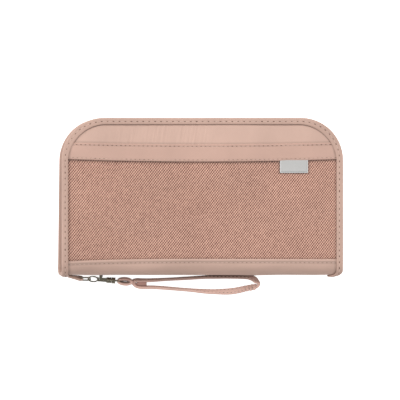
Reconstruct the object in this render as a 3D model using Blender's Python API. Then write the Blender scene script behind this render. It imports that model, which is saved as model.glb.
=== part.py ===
"""Travel document wallet, zipped shut and lying on its rear cover, with its wrist strap beside the fold.

Run with blender --background --python part.py, or from the text editor. Metres, +Z up.
The origin is on the rear cover's outer face. +X is to the right and +Y away from the fold, as the
front cover is read. The wallet is a stitched shell of two covers and a rounded spine. The covers are
stacks of thin layers, so a layer is given by its depth under the outer face.
"""

import math

import bmesh
import bpy
from mathutils import Matrix, Vector

# Covers
COVER_WIDTH = 0.2469
COVER_HEIGHT = 0.1261
COVER_LEAN = 0.0031
TOP_Y = 0.0691
THICKNESS = 0.0230
CORNER_RADIUS = 0.0370
FOOT_RADIUS = 0.0070
GAP = 0.0003
OVERRUN = 0.0060

# Spine
SPINE_REACH = 0.0131
SPINE_SQUARENESS = 2.2
FOLD_ANGLE = math.radians(40)

# Layers of a cover, from the outer face inwards
BINDING_WIDTH = 0.0057
BINDING_CLOTH = 0.0007
FACE_CLOTH = 0.0006
BASE_CLOTH = 0.0006
BOARD_THICKNESS = 0.0010
BOARD_INSET = 0.0032
LINING_CLOTH = 0.0005
REAR_LIP = 0.0002

# Bands of the front face, measured from the top edge and from the bend
POCKET_MOUTH_DROP = 0.0230
BAND_HEIGHT = 0.0158
WOVEN_RISE = 0.0032

# Label
LABEL_WIDTH = 0.0245
LABEL_HEIGHT = 0.0103
LABEL_CLOTH = 0.0005
LABEL_MARGIN = 0.0309

# Inner pockets
POCKET_CLOTH = 0.0005
POCKET_RISE = 0.0070
POCKET_MARGIN = 0.0110
POCKET_SPACING = 0.0050
CARD_WIDTH = 0.0920
CARD_DROP = 0.0591
CARD_STEP = 0.0120
CARD_POCKETS = 3
PASSPORT_DROP = 0.0341
TICKET_DROP = 0.0391
POCKET_CORNER = 0.0040

# Zip
TAPE_INSET = 0.00265
TAPE_CLOTH = 0.0008
TAPE_RISE = 0.0005
TEETH_WIDTH = 0.0026
TEETH_DEPTH = 0.0009
TEETH_PARTING = 0.0014
TAPE_SHY = 0.0003
SLIDER_RISE = 0.0050
SLIDER_LENGTH = 0.0090
SLIDER_WIDTH = 0.0078
SLIDER_PLATE = 0.0006
SLIDER_LIP = 0.0006
POST_LENGTH = 0.0030
POST_WIDTH = 0.0008
ARCH_LENGTH = 0.0050
ARCH_WIDTH = 0.0012
ARCH_POST = 0.0010
ARCH_TOP = 0.0006
PULL_LENGTH = 0.0200
PULL_WIDTH = 0.0060
PULL_PLATE = 0.0008
PULL_HOLE_LENGTH = 0.0035
PULL_HOLE_WIDTH = 0.0030
PULL_CORNER = 0.0016

# Strap tab and ring
TAB_MARGIN = 0.00625
TAB_WIDTH = 0.0052
TAB_LOW_Z = 0.0043
TAB_HIGH_Z = 0.0079
TAB_CLOTH = 0.0008
RING_ALONG = 0.0116
RING_DROP = 0.0027
RING_REACH = 0.0079
RING_HEIGHT = 0.0080
RING_MIDDLE_Z = 0.0049
RING_CORNER = 0.0020
RING_WIRE = 0.0012

# Clasp, laid along its own X from the pivot in the ring
CLASP_TILT = math.radians(-4)
CLASP_Z = 0.0046
CLAW_RADIUS = 0.0042
CLAW_SQUASH = (0.58, 0.50)
CLAW_WIRE = 0.0014
CLAW_THICKNESS = 0.0022
BODY_LENGTH = 0.0092
BODY_WIDTH = 0.0034
BODY_THICKNESS = 0.0034
COLLAR_LENGTH = 0.0034
COLLAR_RADIUS = 0.00245
BARREL_LENGTH = 0.0032
BARREL_RADIUS = 0.00265
SHANK_RADIUS = 0.0010
SHANK_LENGTH = 0.0022
LEVER_SLOT = 0.0012
CATCH_SHARES = (1.9, 2.0)
GATE_START = math.radians(48)
GATE_CLEARANCE = 0.0013
CLAW_TIP = math.radians(118)
CLAW_HEEL = math.radians(345)
LEVER_PIN_RADIUS = 0.0004
EYE_WIRE = 0.0011
EYE_REACH = 0.0053
EYE_CORNER = 0.0014

# Strap
STRAP_WIDTH = 0.0060
STRAP_CLOTH = 0.0022
STRAP_LIFT = 0.0002
SHORT_LOOP_LENGTH = 0.0140
SHORT_LOOP_WIDTH = 0.0084
LAP_LENGTH = 0.0108
LAP_WIDTH = 0.0054

# Places worked out from the sizes above
MIDDLE_Z = THICKNESS / 2
BEND_Y = TOP_Y - COVER_HEIGHT
FOOT_Y = BEND_Y - SPINE_REACH
FRONT_X = COVER_LEAN / 2
POCKET_MOUTH_Y = TOP_Y - POCKET_MOUTH_DROP
BAND_LOW_Y = POCKET_MOUTH_Y - BAND_HEIGHT
WOVEN_LOW_Y = BEND_Y + WOVEN_RISE
LABEL_LEFT_X = FRONT_X + COVER_WIDTH / 2 - LABEL_MARGIN - LABEL_WIDTH
POCKET_LOW_Y = BEND_Y + POCKET_RISE
POCKET_REACH = COVER_WIDTH / 2 - POCKET_MARGIN
REAR_X = -COVER_LEAN / 2
CARD_LEFT_X = REAR_X - POCKET_REACH
PASSPORT_LEFT_X = CARD_LEFT_X + CARD_WIDTH + POCKET_SPACING
PASSPORT_WIDTH = 2 * POCKET_REACH - CARD_WIDTH - POCKET_SPACING
CARD_TOP_Y = TOP_Y - CARD_DROP
PASSPORT_TOP_Y = TOP_Y - PASSPORT_DROP
TICKET_TOP_Y = TOP_Y - TICKET_DROP
TAPE_LOW_Y = BEND_Y + TAPE_RISE
SLIDER_Y = BEND_Y + SLIDER_RISE
TAB_LEFT_X = TAB_MARGIN - COVER_WIDTH / 2
RING_X = TAB_LEFT_X + RING_ALONG
RING_Y = FOOT_Y - RING_DROP
FACE_DEPTH = BINDING_CLOTH + GAP
BASE_DEPTH = FACE_DEPTH + FACE_CLOTH + GAP
BOARD_DEPTH = BASE_DEPTH + BASE_CLOTH + GAP
LINING_DEPTH = BOARD_DEPTH + BOARD_THICKNESS + GAP
COVER_DEPTH = LINING_DEPTH + LINING_CLOTH + GAP + BINDING_CLOTH
POCKET_DEPTH = LINING_DEPTH + LINING_CLOTH + GAP
SPINE_LINING_DEPTH = FACE_DEPTH + FACE_CLOTH + GAP
SPINE_DEPTH = SPINE_LINING_DEPTH + LINING_CLOTH + GAP + BINDING_CLOTH
LAYER_INSET = BINDING_CLOTH + GAP
FOLD_GAP_ANGLE = GAP / 2 / SPINE_REACH
TAPE_FACE_X = COVER_WIDTH / 2 - TAPE_INSET
TEETH_INSET = TAPE_INSET - GAP - TEETH_DEPTH
TEETH_LOW_Z = MIDDLE_Z - TEETH_PARTING / 2 - TEETH_WIDTH

# Counts
CORNER_STEPS = 12
FOOT_STEPS = 5
BEND_STEPS = 8
ROUND_SIDES = 24
WIRE_STEPS = 4
WIRE_RESOLUTION = 1
WELD = 0.00001

# The wrist strap's route on the table, measured from the ring's bar: from the lap out, round and back.
# Chosen by hand.
STRAP_ROUTE = (
    (0.0466, -0.0012),
    (0.0531, -0.0013),
    (0.0616, -0.0012),
    (0.0776, -0.0004),
    (0.0956, 0.0006),
    (0.1116, 0.0019),
    (0.1256, 0.0027),
    (0.1376, 0.0028),
    (0.1466, 0.0026),
    (0.1531, 0.0016),
    (0.1562, -0.0012),
    (0.1559, -0.0048),
    (0.1521, -0.0073),
    (0.1456, -0.0091),
    (0.1386, -0.0105),
    (0.1296, -0.0114),
    (0.1136, -0.0113),
    (0.0966, -0.0100),
    (0.0856, -0.0091),
    (0.0746, -0.0082),
    (0.0656, -0.0076),
    (0.0581, -0.0073),
)
STRAP_STEPS = 3

# Finishes: base colour, roughness, metallic
FINISHES = {
    "smooth_fabric": ((0.66, 0.46, 0.37), 0.62, 0.0),
    "woven_fabric": ((0.50, 0.29, 0.23), 0.80, 0.0),
    "binding": ((0.55, 0.37, 0.31), 0.65, 0.0),
    "label": ((0.52, 0.48, 0.45), 0.75, 0.0),
    "board": ((0.30, 0.22, 0.16), 0.90, 0.0),
    "lining": ((0.40, 0.25, 0.21), 0.75, 0.0),
    "tape": ((0.48, 0.31, 0.26), 0.85, 0.0),
    "teeth": ((0.42, 0.27, 0.23), 0.45, 0.0),
    "nickel": ((0.55, 0.52, 0.46), 0.22, 1.0),
    "spring_steel": ((0.50, 0.50, 0.50), 0.30, 1.0),
    "strap": ((0.56, 0.34, 0.29), 0.55, 0.0),
}


def clear_scene():
    """Remove whatever the file opened with."""
    for obj in list(bpy.data.objects):
        bpy.data.objects.remove(obj, do_unlink=True)


def new_collection(name):
    """Return a collection of this name, linked to the scene."""
    collection = bpy.data.collections.new(name)
    bpy.context.scene.collection.children.link(collection)
    return collection


def finish(name):
    """Return the material of one finish, made the first time that it is asked for."""
    found = bpy.data.materials.get(name)
    if found:
        return found
    colour, roughness, metallic = FINISHES[name]
    made = bpy.data.materials.new(name)
    made.use_nodes = True
    shader = made.node_tree.nodes["Principled BSDF"]
    shader.inputs["Base Color"].default_value = (*colour, 1)
    shader.inputs["Roughness"].default_value = roughness
    shader.inputs["Metallic"].default_value = metallic
    return made


def arc(centre, radius, start, end, steps):
    """Points of an arc in a plane, from the start angle to the end angle."""
    angles = [start + (end - start) * i / steps for i in range(steps + 1)]
    return [(centre[0] + radius * math.cos(a), centre[1] + radius * math.sin(a)) for a in angles]


def oval(centre, radius, share, start, end, steps):
    """Points of an arc squashed towards the X axis through its centre."""
    return [(x, centre[1] + (y - centre[1]) * share) for x, y in arc(centre, radius, start, end, steps)]


def rounded_box(low, high, radius):
    """Outline of a rectangle with round corners."""
    quarter = math.pi / 2
    centres = (
        (high[0] - radius, high[1] - radius),
        (low[0] + radius, high[1] - radius),
        (low[0] + radius, low[1] + radius),
        (high[0] - radius, low[1] + radius),
    )
    points = []
    for i, centre in enumerate(centres):
        points += arc(centre, radius, i * quarter, (i + 1) * quarter, WIRE_STEPS)
    return points


def plain_box(low, high):
    """Outline of a rectangle."""
    return [(low[0], low[1]), (high[0], low[1]), (high[0], high[1]), (low[0], high[1])]


def d_loop(reach, height, corner):
    """Outline of a D ring: a straight bar at the left, round corners at the right."""
    quarter = math.pi / 2
    half = height / 2
    upper = arc((reach - corner, half - corner), corner, 0, quarter, WIRE_STEPS)
    lower = arc((reach - corner, corner - half), corner, -quarter, 0, WIRE_STEPS)
    return [*upper, (0, half), (0, -half), *lower]


def cover_outline(inset, middle_x):
    """Plan outline of a cover, drawn in by inset: large arcs at the top, small ones at the fold."""
    half = COVER_WIDTH / 2 - inset
    radius = CORNER_RADIUS - inset
    foot = FOOT_RADIUS - inset
    quarter = math.pi / 2
    top_y = TOP_Y - CORNER_RADIUS
    foot_y = FOOT_Y + FOOT_RADIUS
    points = arc((middle_x + half - radius, top_y), radius, 0, quarter, CORNER_STEPS)
    points += arc((middle_x - half + radius, top_y), radius, quarter, 2 * quarter, CORNER_STEPS)
    points += arc((middle_x - half + foot, foot_y), foot, 2 * quarter, 3 * quarter, FOOT_STEPS)
    points += arc((middle_x + half - foot, foot_y), foot, 3 * quarter, 4 * quarter, FOOT_STEPS)
    return points


def arch_outline(inset, middle_x, low_y):
    """Plan outline of a cover with a straight lower end at low_y."""
    half = COVER_WIDTH / 2 - inset
    radius = CORNER_RADIUS - inset
    quarter = math.pi / 2
    top_y = TOP_Y - CORNER_RADIUS
    points = arc((middle_x + half - radius, top_y), radius, 0, quarter, CORNER_STEPS)
    points += arc((middle_x - half + radius, top_y), radius, quarter, 2 * quarter, CORNER_STEPS)
    points += [(middle_x - half, low_y), (middle_x + half, low_y)]
    return points


def u_outline(outer_inset, inner_inset, middle_x, low_y):
    """Plan outline of a strip that runs up one side of a cover, over its top and down the other."""
    outer = arch_outline(outer_inset, middle_x, low_y)
    inner = arch_outline(inner_inset, middle_x, low_y)
    right_outer, right_inner = outer[-1], inner[-1]
    return [right_outer, *outer[:-1], *reversed(inner[:-1]), right_inner]


def shell_point(angle, depth):
    """Place across the spine at an angle up from its middle and a depth under its outer face."""
    power = 2 / SPINE_SQUARENESS
    across = abs(math.cos(angle)) ** power
    up = math.copysign(abs(math.sin(angle)) ** power, math.sin(angle))
    return (BEND_Y - (SPINE_REACH - depth) * across, MIDDLE_Z + (MIDDLE_Z - depth) * up)


def bend_points(start, end, depth):
    """Places round the spine from one angle to another."""
    angles = [start + (end - start) * i / BEND_STEPS for i in range(BEND_STEPS + 1)]
    return [shell_point(a, depth) for a in angles]


def cover_section(outer, inner, far_y, end_angle):
    """Section of one front layer: flat from far_y to the bend, then round to the end angle."""
    top = math.pi / 2
    points = [(far_y, THICKNESS - outer)]
    points += bend_points(top, end_angle, outer)
    points += bend_points(end_angle, top, inner)
    points.append((far_y, THICKNESS - inner))
    return points


def flipped(section):
    """The same section on the rear cover."""
    return [(y, THICKNESS - z) for y, z in reversed(section)]


def spine_section(outer, inner, angle):
    """Section of one spine layer, from one fold round to the other."""
    return bend_points(angle, -angle, outer) + bend_points(-angle, angle, inner)


AXES = {
    "X": Matrix(((0, 0, 1, 0), (1, 0, 0, 0), (0, 1, 0, 0), (0, 0, 0, 1))),
    "Y": Matrix(((1, 0, 0, 0), (0, 0, -1, 0), (0, 1, 0, 0), (0, 0, 0, 1))),
    "Z": Matrix.Identity(4),
}


class Workshop:
    """Holds the two collections and makes solids in them."""

    def __init__(self):
        self.parts = new_collection("travel_document_wallet")
        self.cutters = new_collection("cutters")

    def empty(self, name, place, turn=0):
        """An empty on a joint's axis, turned about Z."""
        made = bpy.data.objects.new(name, None)
        made.location = place
        made.rotation_euler.z = turn
        self.parts.objects.link(made)
        return made

    def welded(self, name, obj):
        """Turn a curve object into a closed mesh object and remove the curve."""
        bpy.context.view_layer.update()
        graph = bpy.context.evaluated_depsgraph_get()
        mesh = bpy.data.meshes.new_from_object(obj.evaluated_get(graph))
        mesh.name = name
        shape = bmesh.new()
        shape.from_mesh(mesh)
        bmesh.ops.remove_doubles(shape, verts=shape.verts, dist=WELD)
        bmesh.ops.recalc_face_normals(shape, faces=shape.faces)
        shape.to_mesh(mesh)
        shape.free()
        made = bpy.data.objects.new(name, mesh)
        made.matrix_world = obj.matrix_world
        bpy.data.objects.remove(obj, do_unlink=True)
        return made

    def place(self, obj, finish_name, parent=None, cutter=False):
        """Put a mesh object in its collection with its finish, under its parent."""
        (self.cutters if cutter else self.parts).objects.link(obj)
        if cutter:
            obj.hide_render = True
            obj.display_type = "WIRE"
        else:
            obj.data.materials.clear()
            obj.data.materials.append(finish(finish_name))
        if parent:
            obj.parent = parent
        return obj

    def plate(self, name, loops, low, high, finish_name="", axis="Z", parent=None, cutter=False):
        """A flat outline, with its holes, made solid from low to high along an axis."""
        curve = bpy.data.curves.new(name + "_outline", "CURVE")
        curve.dimensions = "2D"
        curve.fill_mode = "BOTH"
        curve.extrude = (high - low) / 2
        for loop in loops:
            spline = curve.splines.new("POLY")
            spline.points.add(len(loop) - 1)
            for point, (x, y) in zip(spline.points, loop):
                point.co = (x, y, 0, 1)
            spline.use_cyclic_u = True
        outline = bpy.data.objects.new(name + "_outline", curve)
        outline.matrix_world = AXES[axis] @ Matrix.Translation((0, 0, (low + high) / 2))
        self.cutters.objects.link(outline)
        return self.place(self.welded(name, outline), finish_name, parent, cutter)

    def wire(self, name, points, diameter, finish_name="", parent=None, cutter=False, closed=True):
        """A round wire along points, closed on itself or with flat ends."""
        curve = bpy.data.curves.new(name + "_path", "CURVE")
        curve.dimensions = "3D"
        curve.bevel_depth = diameter / 2
        curve.bevel_resolution = WIRE_RESOLUTION
        curve.use_fill_caps = not closed
        spline = curve.splines.new("POLY")
        spline.points.add(len(points) - 1)
        for point, place in zip(spline.points, points):
            point.co = (*place, 1)
        spline.use_cyclic_u = closed
        path = bpy.data.objects.new(name + "_path", curve)
        self.cutters.objects.link(path)
        return self.place(self.welded(name, path), finish_name, parent, cutter)

    def rod(self, name, radius, start, end, finish_name="", parent=None, cutter=False):
        """A round bar between two points."""
        start, end = Vector(start), Vector(end)
        mesh = bpy.data.meshes.new(name)
        shape = bmesh.new()
        bmesh.ops.create_cone(
            shape,
            cap_ends=True,
            segments=ROUND_SIDES,
            radius1=radius,
            radius2=radius,
            depth=(end - start).length,
        )
        turn = Vector((0, 0, 1)).rotation_difference(end - start).to_matrix().to_4x4()
        bmesh.ops.transform(shape, matrix=Matrix.Translation((start + end) / 2) @ turn, verts=shape.verts)
        shape.to_mesh(mesh)
        shape.free()
        mesh.shade_smooth()
        mesh.set_sharp_from_angle(angle=math.radians(40))
        return self.place(bpy.data.objects.new(name, mesh), finish_name, parent, cutter)

    def combine(self, obj, other, operation):
        """Cut, join or meet a solid with another."""
        modifier = obj.modifiers.new(other.name, "BOOLEAN")
        modifier.operation = operation
        modifier.solver = "EXACT"
        modifier.object = other
        return obj

    def layer(self, name, section, outline, finish_name="", cutter=False):
        """A cover layer: its section drawn out along X and trimmed to its plan outline."""
        reach = COVER_WIDTH / 2 + COVER_LEAN + OVERRUN
        solid = self.plate(name, [section], -reach, reach, finish_name, axis="X", cutter=cutter)
        trim = self.plate(name + "_trim", [outline], -OVERRUN, THICKNESS + OVERRUN, cutter=True)
        return self.combine(solid, trim, "INTERSECT")


def make_binding(shop, name, middle_x, section_of, depth, plain_section):
    """Edge binding: a channel of folded cloth that grips the edge of the layers."""
    outer = shop.layer(name, plain_section, cover_outline(0, middle_x), "binding")
    opening = shop.plate(
        name + "_opening",
        [arch_outline(BINDING_WIDTH, middle_x, FOOT_Y - OVERRUN)],
        -OVERRUN,
        THICKNESS + OVERRUN,
        cutter=True,
    )
    channel = shop.layer(
        name + "_channel",
        section_of(BINDING_CLOTH, depth - BINDING_CLOTH),
        cover_outline(BINDING_CLOTH, middle_x),
        cutter=True,
    )
    shop.combine(outer, opening, "DIFFERENCE")
    return shop.combine(outer, channel, "DIFFERENCE")


def front_section(outer, inner, far_y=TOP_Y + OVERRUN):
    """Section of a front layer that stops just short of the fold."""
    return cover_section(outer, inner, far_y, FOLD_ANGLE + FOLD_GAP_ANGLE)


def front_channel_section(outer, inner):
    """Section of the front binding's channel, which runs on past the fold."""
    return cover_section(outer, inner, TOP_Y + OVERRUN, FOLD_ANGLE / 2)


def rear_channel_section(outer, inner):
    """Section of the rear binding's channel, which runs on past the fold."""
    return flipped(front_channel_section(outer + REAR_LIP, inner))


def spine_channel_section(outer, inner):
    """Section of the spine binding's channel, which runs on past both folds."""
    return spine_section(outer, inner, (FOLD_ANGLE + math.pi / 2) / 2)


def make_front_cover(shop):
    """Layers of the front cover, outermost first."""
    face = cover_outline(LAYER_INSET, FRONT_X)
    half = COVER_WIDTH / 2
    left_x, right_x = FRONT_X - half - OVERRUN, FRONT_X + half + OVERRUN
    make_binding(
        shop, "front_binding", FRONT_X, front_channel_section, COVER_DEPTH, front_section(0, COVER_DEPTH)
    )
    band = shop.plate(
        "pocket_band",
        [plain_box((left_x, BAND_LOW_Y), (right_x, POCKET_MOUTH_Y))],
        THICKNESS - FACE_DEPTH - FACE_CLOTH,
        THICKNESS - FACE_DEPTH,
        "smooth_fabric",
    )
    woven = shop.plate(
        "woven_panel",
        [plain_box((left_x, WOVEN_LOW_Y), (right_x, BAND_LOW_Y - GAP))],
        THICKNESS - FACE_DEPTH - FACE_CLOTH,
        THICKNESS - FACE_DEPTH,
        "woven_fabric",
    )
    trim = shop.plate("front_face_trim", [face], -OVERRUN, THICKNESS + OVERRUN, cutter=True)
    shop.combine(band, trim, "INTERSECT")
    shop.combine(woven, trim, "INTERSECT")
    shop.layer(
        "front_bottom_band",
        front_section(FACE_DEPTH, FACE_DEPTH + FACE_CLOTH, WOVEN_LOW_Y - GAP),
        face,
        "smooth_fabric",
    )
    shop.plate(
        "front_base_panel",
        [arch_outline(LAYER_INSET, FRONT_X, BEND_Y)],
        THICKNESS - BASE_DEPTH - BASE_CLOTH,
        THICKNESS - BASE_DEPTH,
        "smooth_fabric",
    )
    shop.plate(
        "front_board",
        [arch_outline(BOARD_INSET, FRONT_X, BEND_Y)],
        THICKNESS - BOARD_DEPTH - BOARD_THICKNESS,
        THICKNESS - BOARD_DEPTH,
        "board",
    )
    shop.layer("front_lining", front_section(LINING_DEPTH, LINING_DEPTH + LINING_CLOTH), face, "lining")
    label_top = BAND_LOW_Y - GAP
    label_low_z = THICKNESS - FACE_DEPTH + GAP
    shop.plate(
        "woven_label",
        [plain_box((LABEL_LEFT_X, label_top - LABEL_HEIGHT), (LABEL_LEFT_X + LABEL_WIDTH, label_top))],
        label_low_z,
        label_low_z + LABEL_CLOTH,
        "label",
    )
    ticket_high = THICKNESS - POCKET_DEPTH
    shop.plate(
        "ticket_pocket",
        [
            rounded_box(
                (FRONT_X - POCKET_REACH, POCKET_LOW_Y),
                (FRONT_X + POCKET_REACH, TICKET_TOP_Y),
                POCKET_CORNER,
            )
        ],
        ticket_high - POCKET_CLOTH,
        ticket_high,
        "lining",
    )


def make_rear_cover(shop):
    """Layers of the rear cover, outermost first."""
    face = cover_outline(LAYER_INSET, REAR_X)
    rear_section = flipped(front_section(REAR_LIP, COVER_DEPTH))
    make_binding(shop, "rear_binding", REAR_X, rear_channel_section, COVER_DEPTH, rear_section)
    shop.plate(
        "rear_panel",
        [arch_outline(BINDING_WIDTH + GAP, REAR_X, WOVEN_LOW_Y)],
        0,
        FACE_DEPTH + FACE_CLOTH,
        "woven_fabric",
    )
    shop.layer(
        "rear_bottom_band",
        flipped(front_section(FACE_DEPTH, FACE_DEPTH + FACE_CLOTH, WOVEN_LOW_Y - GAP)),
        face,
        "smooth_fabric",
    )
    shop.plate(
        "rear_board",
        [arch_outline(BOARD_INSET, REAR_X, BEND_Y)],
        BOARD_DEPTH - BASE_CLOTH,
        BOARD_DEPTH + BOARD_THICKNESS,
        "board",
    )
    shop.layer(
        "rear_lining",
        flipped(front_section(LINING_DEPTH, LINING_DEPTH + LINING_CLOTH)),
        face,
        "lining",
    )
    for i in range(CARD_POCKETS):
        low_z = POCKET_DEPTH + i * (POCKET_CLOTH + GAP)
        shop.plate(
            f"card_pocket_{i + 1}",
            [
                rounded_box(
                    (CARD_LEFT_X, POCKET_LOW_Y),
                    (CARD_LEFT_X + CARD_WIDTH, CARD_TOP_Y - i * CARD_STEP),
                    POCKET_CORNER,
                )
            ],
            low_z,
            low_z + POCKET_CLOTH,
            "lining",
        )
    shop.plate(
        "passport_pocket",
        [
            rounded_box(
                (PASSPORT_LEFT_X, POCKET_LOW_Y),
                (PASSPORT_LEFT_X + PASSPORT_WIDTH, PASSPORT_TOP_Y),
                POCKET_CORNER,
            )
        ],
        POCKET_DEPTH,
        POCKET_DEPTH + POCKET_CLOTH,
        "lining",
    )


def make_spine(shop, parent):
    """The rounded spine: its panel, its lining and the binding on both ends."""
    angle = FOLD_ANGLE - FOLD_GAP_ANGLE
    face = cover_outline(LAYER_INSET, 0)
    pieces = [
        shop.layer(
            "spine_panel",
            spine_section(FACE_DEPTH, FACE_DEPTH + FACE_CLOTH, angle),
            face,
            "smooth_fabric",
        ),
        shop.layer(
            "spine_lining",
            spine_section(SPINE_LINING_DEPTH, SPINE_LINING_DEPTH + LINING_CLOTH, angle),
            face,
            "lining",
        ),
    ]
    reach = COVER_WIDTH / 2 + OVERRUN
    inner = COVER_WIDTH / 2 - BINDING_WIDTH
    for side, low, high in (("left", -reach, -inner), ("right", inner, reach)):
        name = "spine_binding_" + side
        strip = shop.plate(
            name, [spine_section(0, SPINE_DEPTH, angle)], low, high, "binding", axis="X"
        )
        trim = shop.plate(
            name + "_trim", [cover_outline(0, 0)], -OVERRUN, THICKNESS + OVERRUN, cutter=True
        )
        channel = shop.layer(
            name + "_channel",
            spine_channel_section(BINDING_CLOTH, SPINE_DEPTH - BINDING_CLOTH),
            cover_outline(BINDING_CLOTH, 0),
            cutter=True,
        )
        shop.combine(strip, trim, "INTERSECT")
        shop.combine(strip, channel, "DIFFERENCE")
        pieces.append(strip)
    for piece in pieces:
        keep_place(piece, parent)


def keep_place(obj, parent):
    """Parent an object and leave it where it is."""
    bpy.context.view_layer.update()
    obj.parent = parent
    obj.matrix_parent_inverse = parent.matrix_world.inverted()


def make_zip(shop, front):
    """Both tapes, both rows of teeth, the slider and its pull."""
    tape_reach = TEETH_PARTING / 2 + TAPE_SHY
    rear_low, rear_high = COVER_DEPTH + GAP, MIDDLE_Z - tape_reach
    rows = {
        "rear": (rear_low, rear_high, TEETH_LOW_Z),
        "front": (THICKNESS - rear_high, THICKNESS - rear_low, THICKNESS - TEETH_LOW_Z - TEETH_WIDTH),
    }
    for side, (low, high, teeth_low) in rows.items():
        tape = shop.plate(
            "zip_tape_" + side,
            [u_outline(TAPE_INSET, TAPE_INSET + TAPE_CLOTH, 0, TAPE_LOW_Y)],
            low,
            high,
            "tape",
        )
        teeth = shop.plate(
            "zip_teeth_" + side,
            [u_outline(TEETH_INSET, TEETH_INSET + TEETH_DEPTH, 0, TAPE_LOW_Y)],
            teeth_low,
            teeth_low + TEETH_WIDTH,
            "teeth",
        )
        if side == "front":
            keep_place(tape, front)
            keep_place(teeth, front)


def box(shop, name, low, high, finish_name="", parent=None, cutter=False):
    """A block between two corners."""
    outline = plain_box(low[:2], high[:2])
    return shop.plate(name, [outline], low[2], high[2], finish_name, parent=parent, cutter=cutter)


def make_slider(shop):
    """Slider: two plates joined by the post between the rows, a lip, and the arch for the pull."""
    home = shop.empty("zip_slider_home", (TAPE_FACE_X, SLIDER_Y, MIDDLE_Z))
    outer = GAP + TEETH_DEPTH + GAP
    inner = -TAPE_CLOTH - GAP
    half_length, half_width = SLIDER_LENGTH / 2, SLIDER_WIDTH / 2
    slider = box(
        shop,
        "zip_slider",
        (outer, -half_length, -half_width),
        (outer + SLIDER_PLATE, half_length, half_width),
        "nickel",
        home,
    )
    lip_top = TEETH_LOW_Z - MIDDLE_Z - GAP
    arch_low, arch_high = outer, outer + SLIDER_PLATE + GAP + PULL_PLATE + GAP + ARCH_TOP
    arch_start = -ARCH_LENGTH / 2
    pieces = {
        "inner_plate": (
            (inner - SLIDER_PLATE, -half_length, -half_width),
            (inner, half_length, half_width),
        ),
        "post": (
            (inner - SLIDER_PLATE / 2, -half_length, -POST_WIDTH / 2),
            (outer + SLIDER_PLATE / 2, -half_length + POST_LENGTH, POST_WIDTH / 2),
        ),
        "lip": (
            (GAP, -half_length, lip_top - SLIDER_LIP),
            (outer + SLIDER_PLATE / 2, half_length, lip_top),
        ),
        "arch_near": (
            (arch_low, arch_start, -ARCH_WIDTH / 2),
            (arch_high, arch_start + ARCH_POST, ARCH_WIDTH / 2),
        ),
        "arch_far": (
            (arch_low, -arch_start - ARCH_POST, -ARCH_WIDTH / 2),
            (arch_high, -arch_start, ARCH_WIDTH / 2),
        ),
        "arch_top": (
            (arch_high - ARCH_TOP, arch_start, -ARCH_WIDTH / 2),
            (arch_high, -arch_start, ARCH_WIDTH / 2),
        ),
    }
    for name, (low, high) in pieces.items():
        shop.combine(slider, box(shop, "slider_" + name, low, high, parent=home, cutter=True), "UNION")
    make_pull(shop, home, outer + SLIDER_PLATE + GAP)
    return slider


def make_pull(shop, home, low_x):
    """Pull: a flat tag whose end bar turns under the slider's arch."""
    bar_y = ARCH_LENGTH / 2 - ARCH_POST - GAP - PULL_PLATE / 2
    pivot = shop.empty("zip_pull_pivot", (low_x + PULL_PLATE / 2, bar_y, 0))
    pivot.parent = home
    half, hole = PULL_WIDTH / 2, PULL_HOLE_WIDTH / 2
    bar = PULL_PLATE / 2
    tag = rounded_box((-bar, -half), (PULL_LENGTH, half), PULL_CORNER / 2)
    window = plain_box((bar, -hole), (bar + PULL_HOLE_LENGTH, hole))
    pull = shop.plate("zip_pull", [tag, window], -bar, bar, "nickel")
    pull.matrix_world = AXES["X"] @ Matrix.Identity(4)
    pull.parent = pivot
    return pull


def make_ring(shop, spine):
    """Tab of folded cloth on the end of the spine, and the ring in it."""
    root_y = FOOT_Y + FACE_DEPTH - GAP
    wrap = RING_WIRE / 2 + GAP + TAB_CLOTH
    centre = (RING_X, RING_Y)
    root = [(TAB_LEFT_X, root_y), (TAB_LEFT_X + TAB_WIDTH, root_y)]
    loop = arc(centre, wrap, math.radians(60), math.radians(-120), 2 * WIRE_STEPS)
    outline = [root[1], *loop, root[0]]
    bore = arc(centre, RING_WIRE / 2 + GAP, 0, 2 * math.pi, 2 * WIRE_STEPS)[:-1]
    tab = shop.plate("strap_tab", [outline, bore], TAB_LOW_Z, TAB_HIGH_Z, "smooth_fabric")
    keep_place(tab, spine)
    pivot = shop.empty("ring_pivot", (RING_X, RING_Y, RING_MIDDLE_Z))
    keep_place(pivot, spine)
    path = [(x, 0, z) for x, z in d_loop(RING_REACH, RING_HEIGHT, RING_CORNER)]
    shop.wire("ring", path, RING_WIRE, "nickel", pivot)
    return pivot


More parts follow.
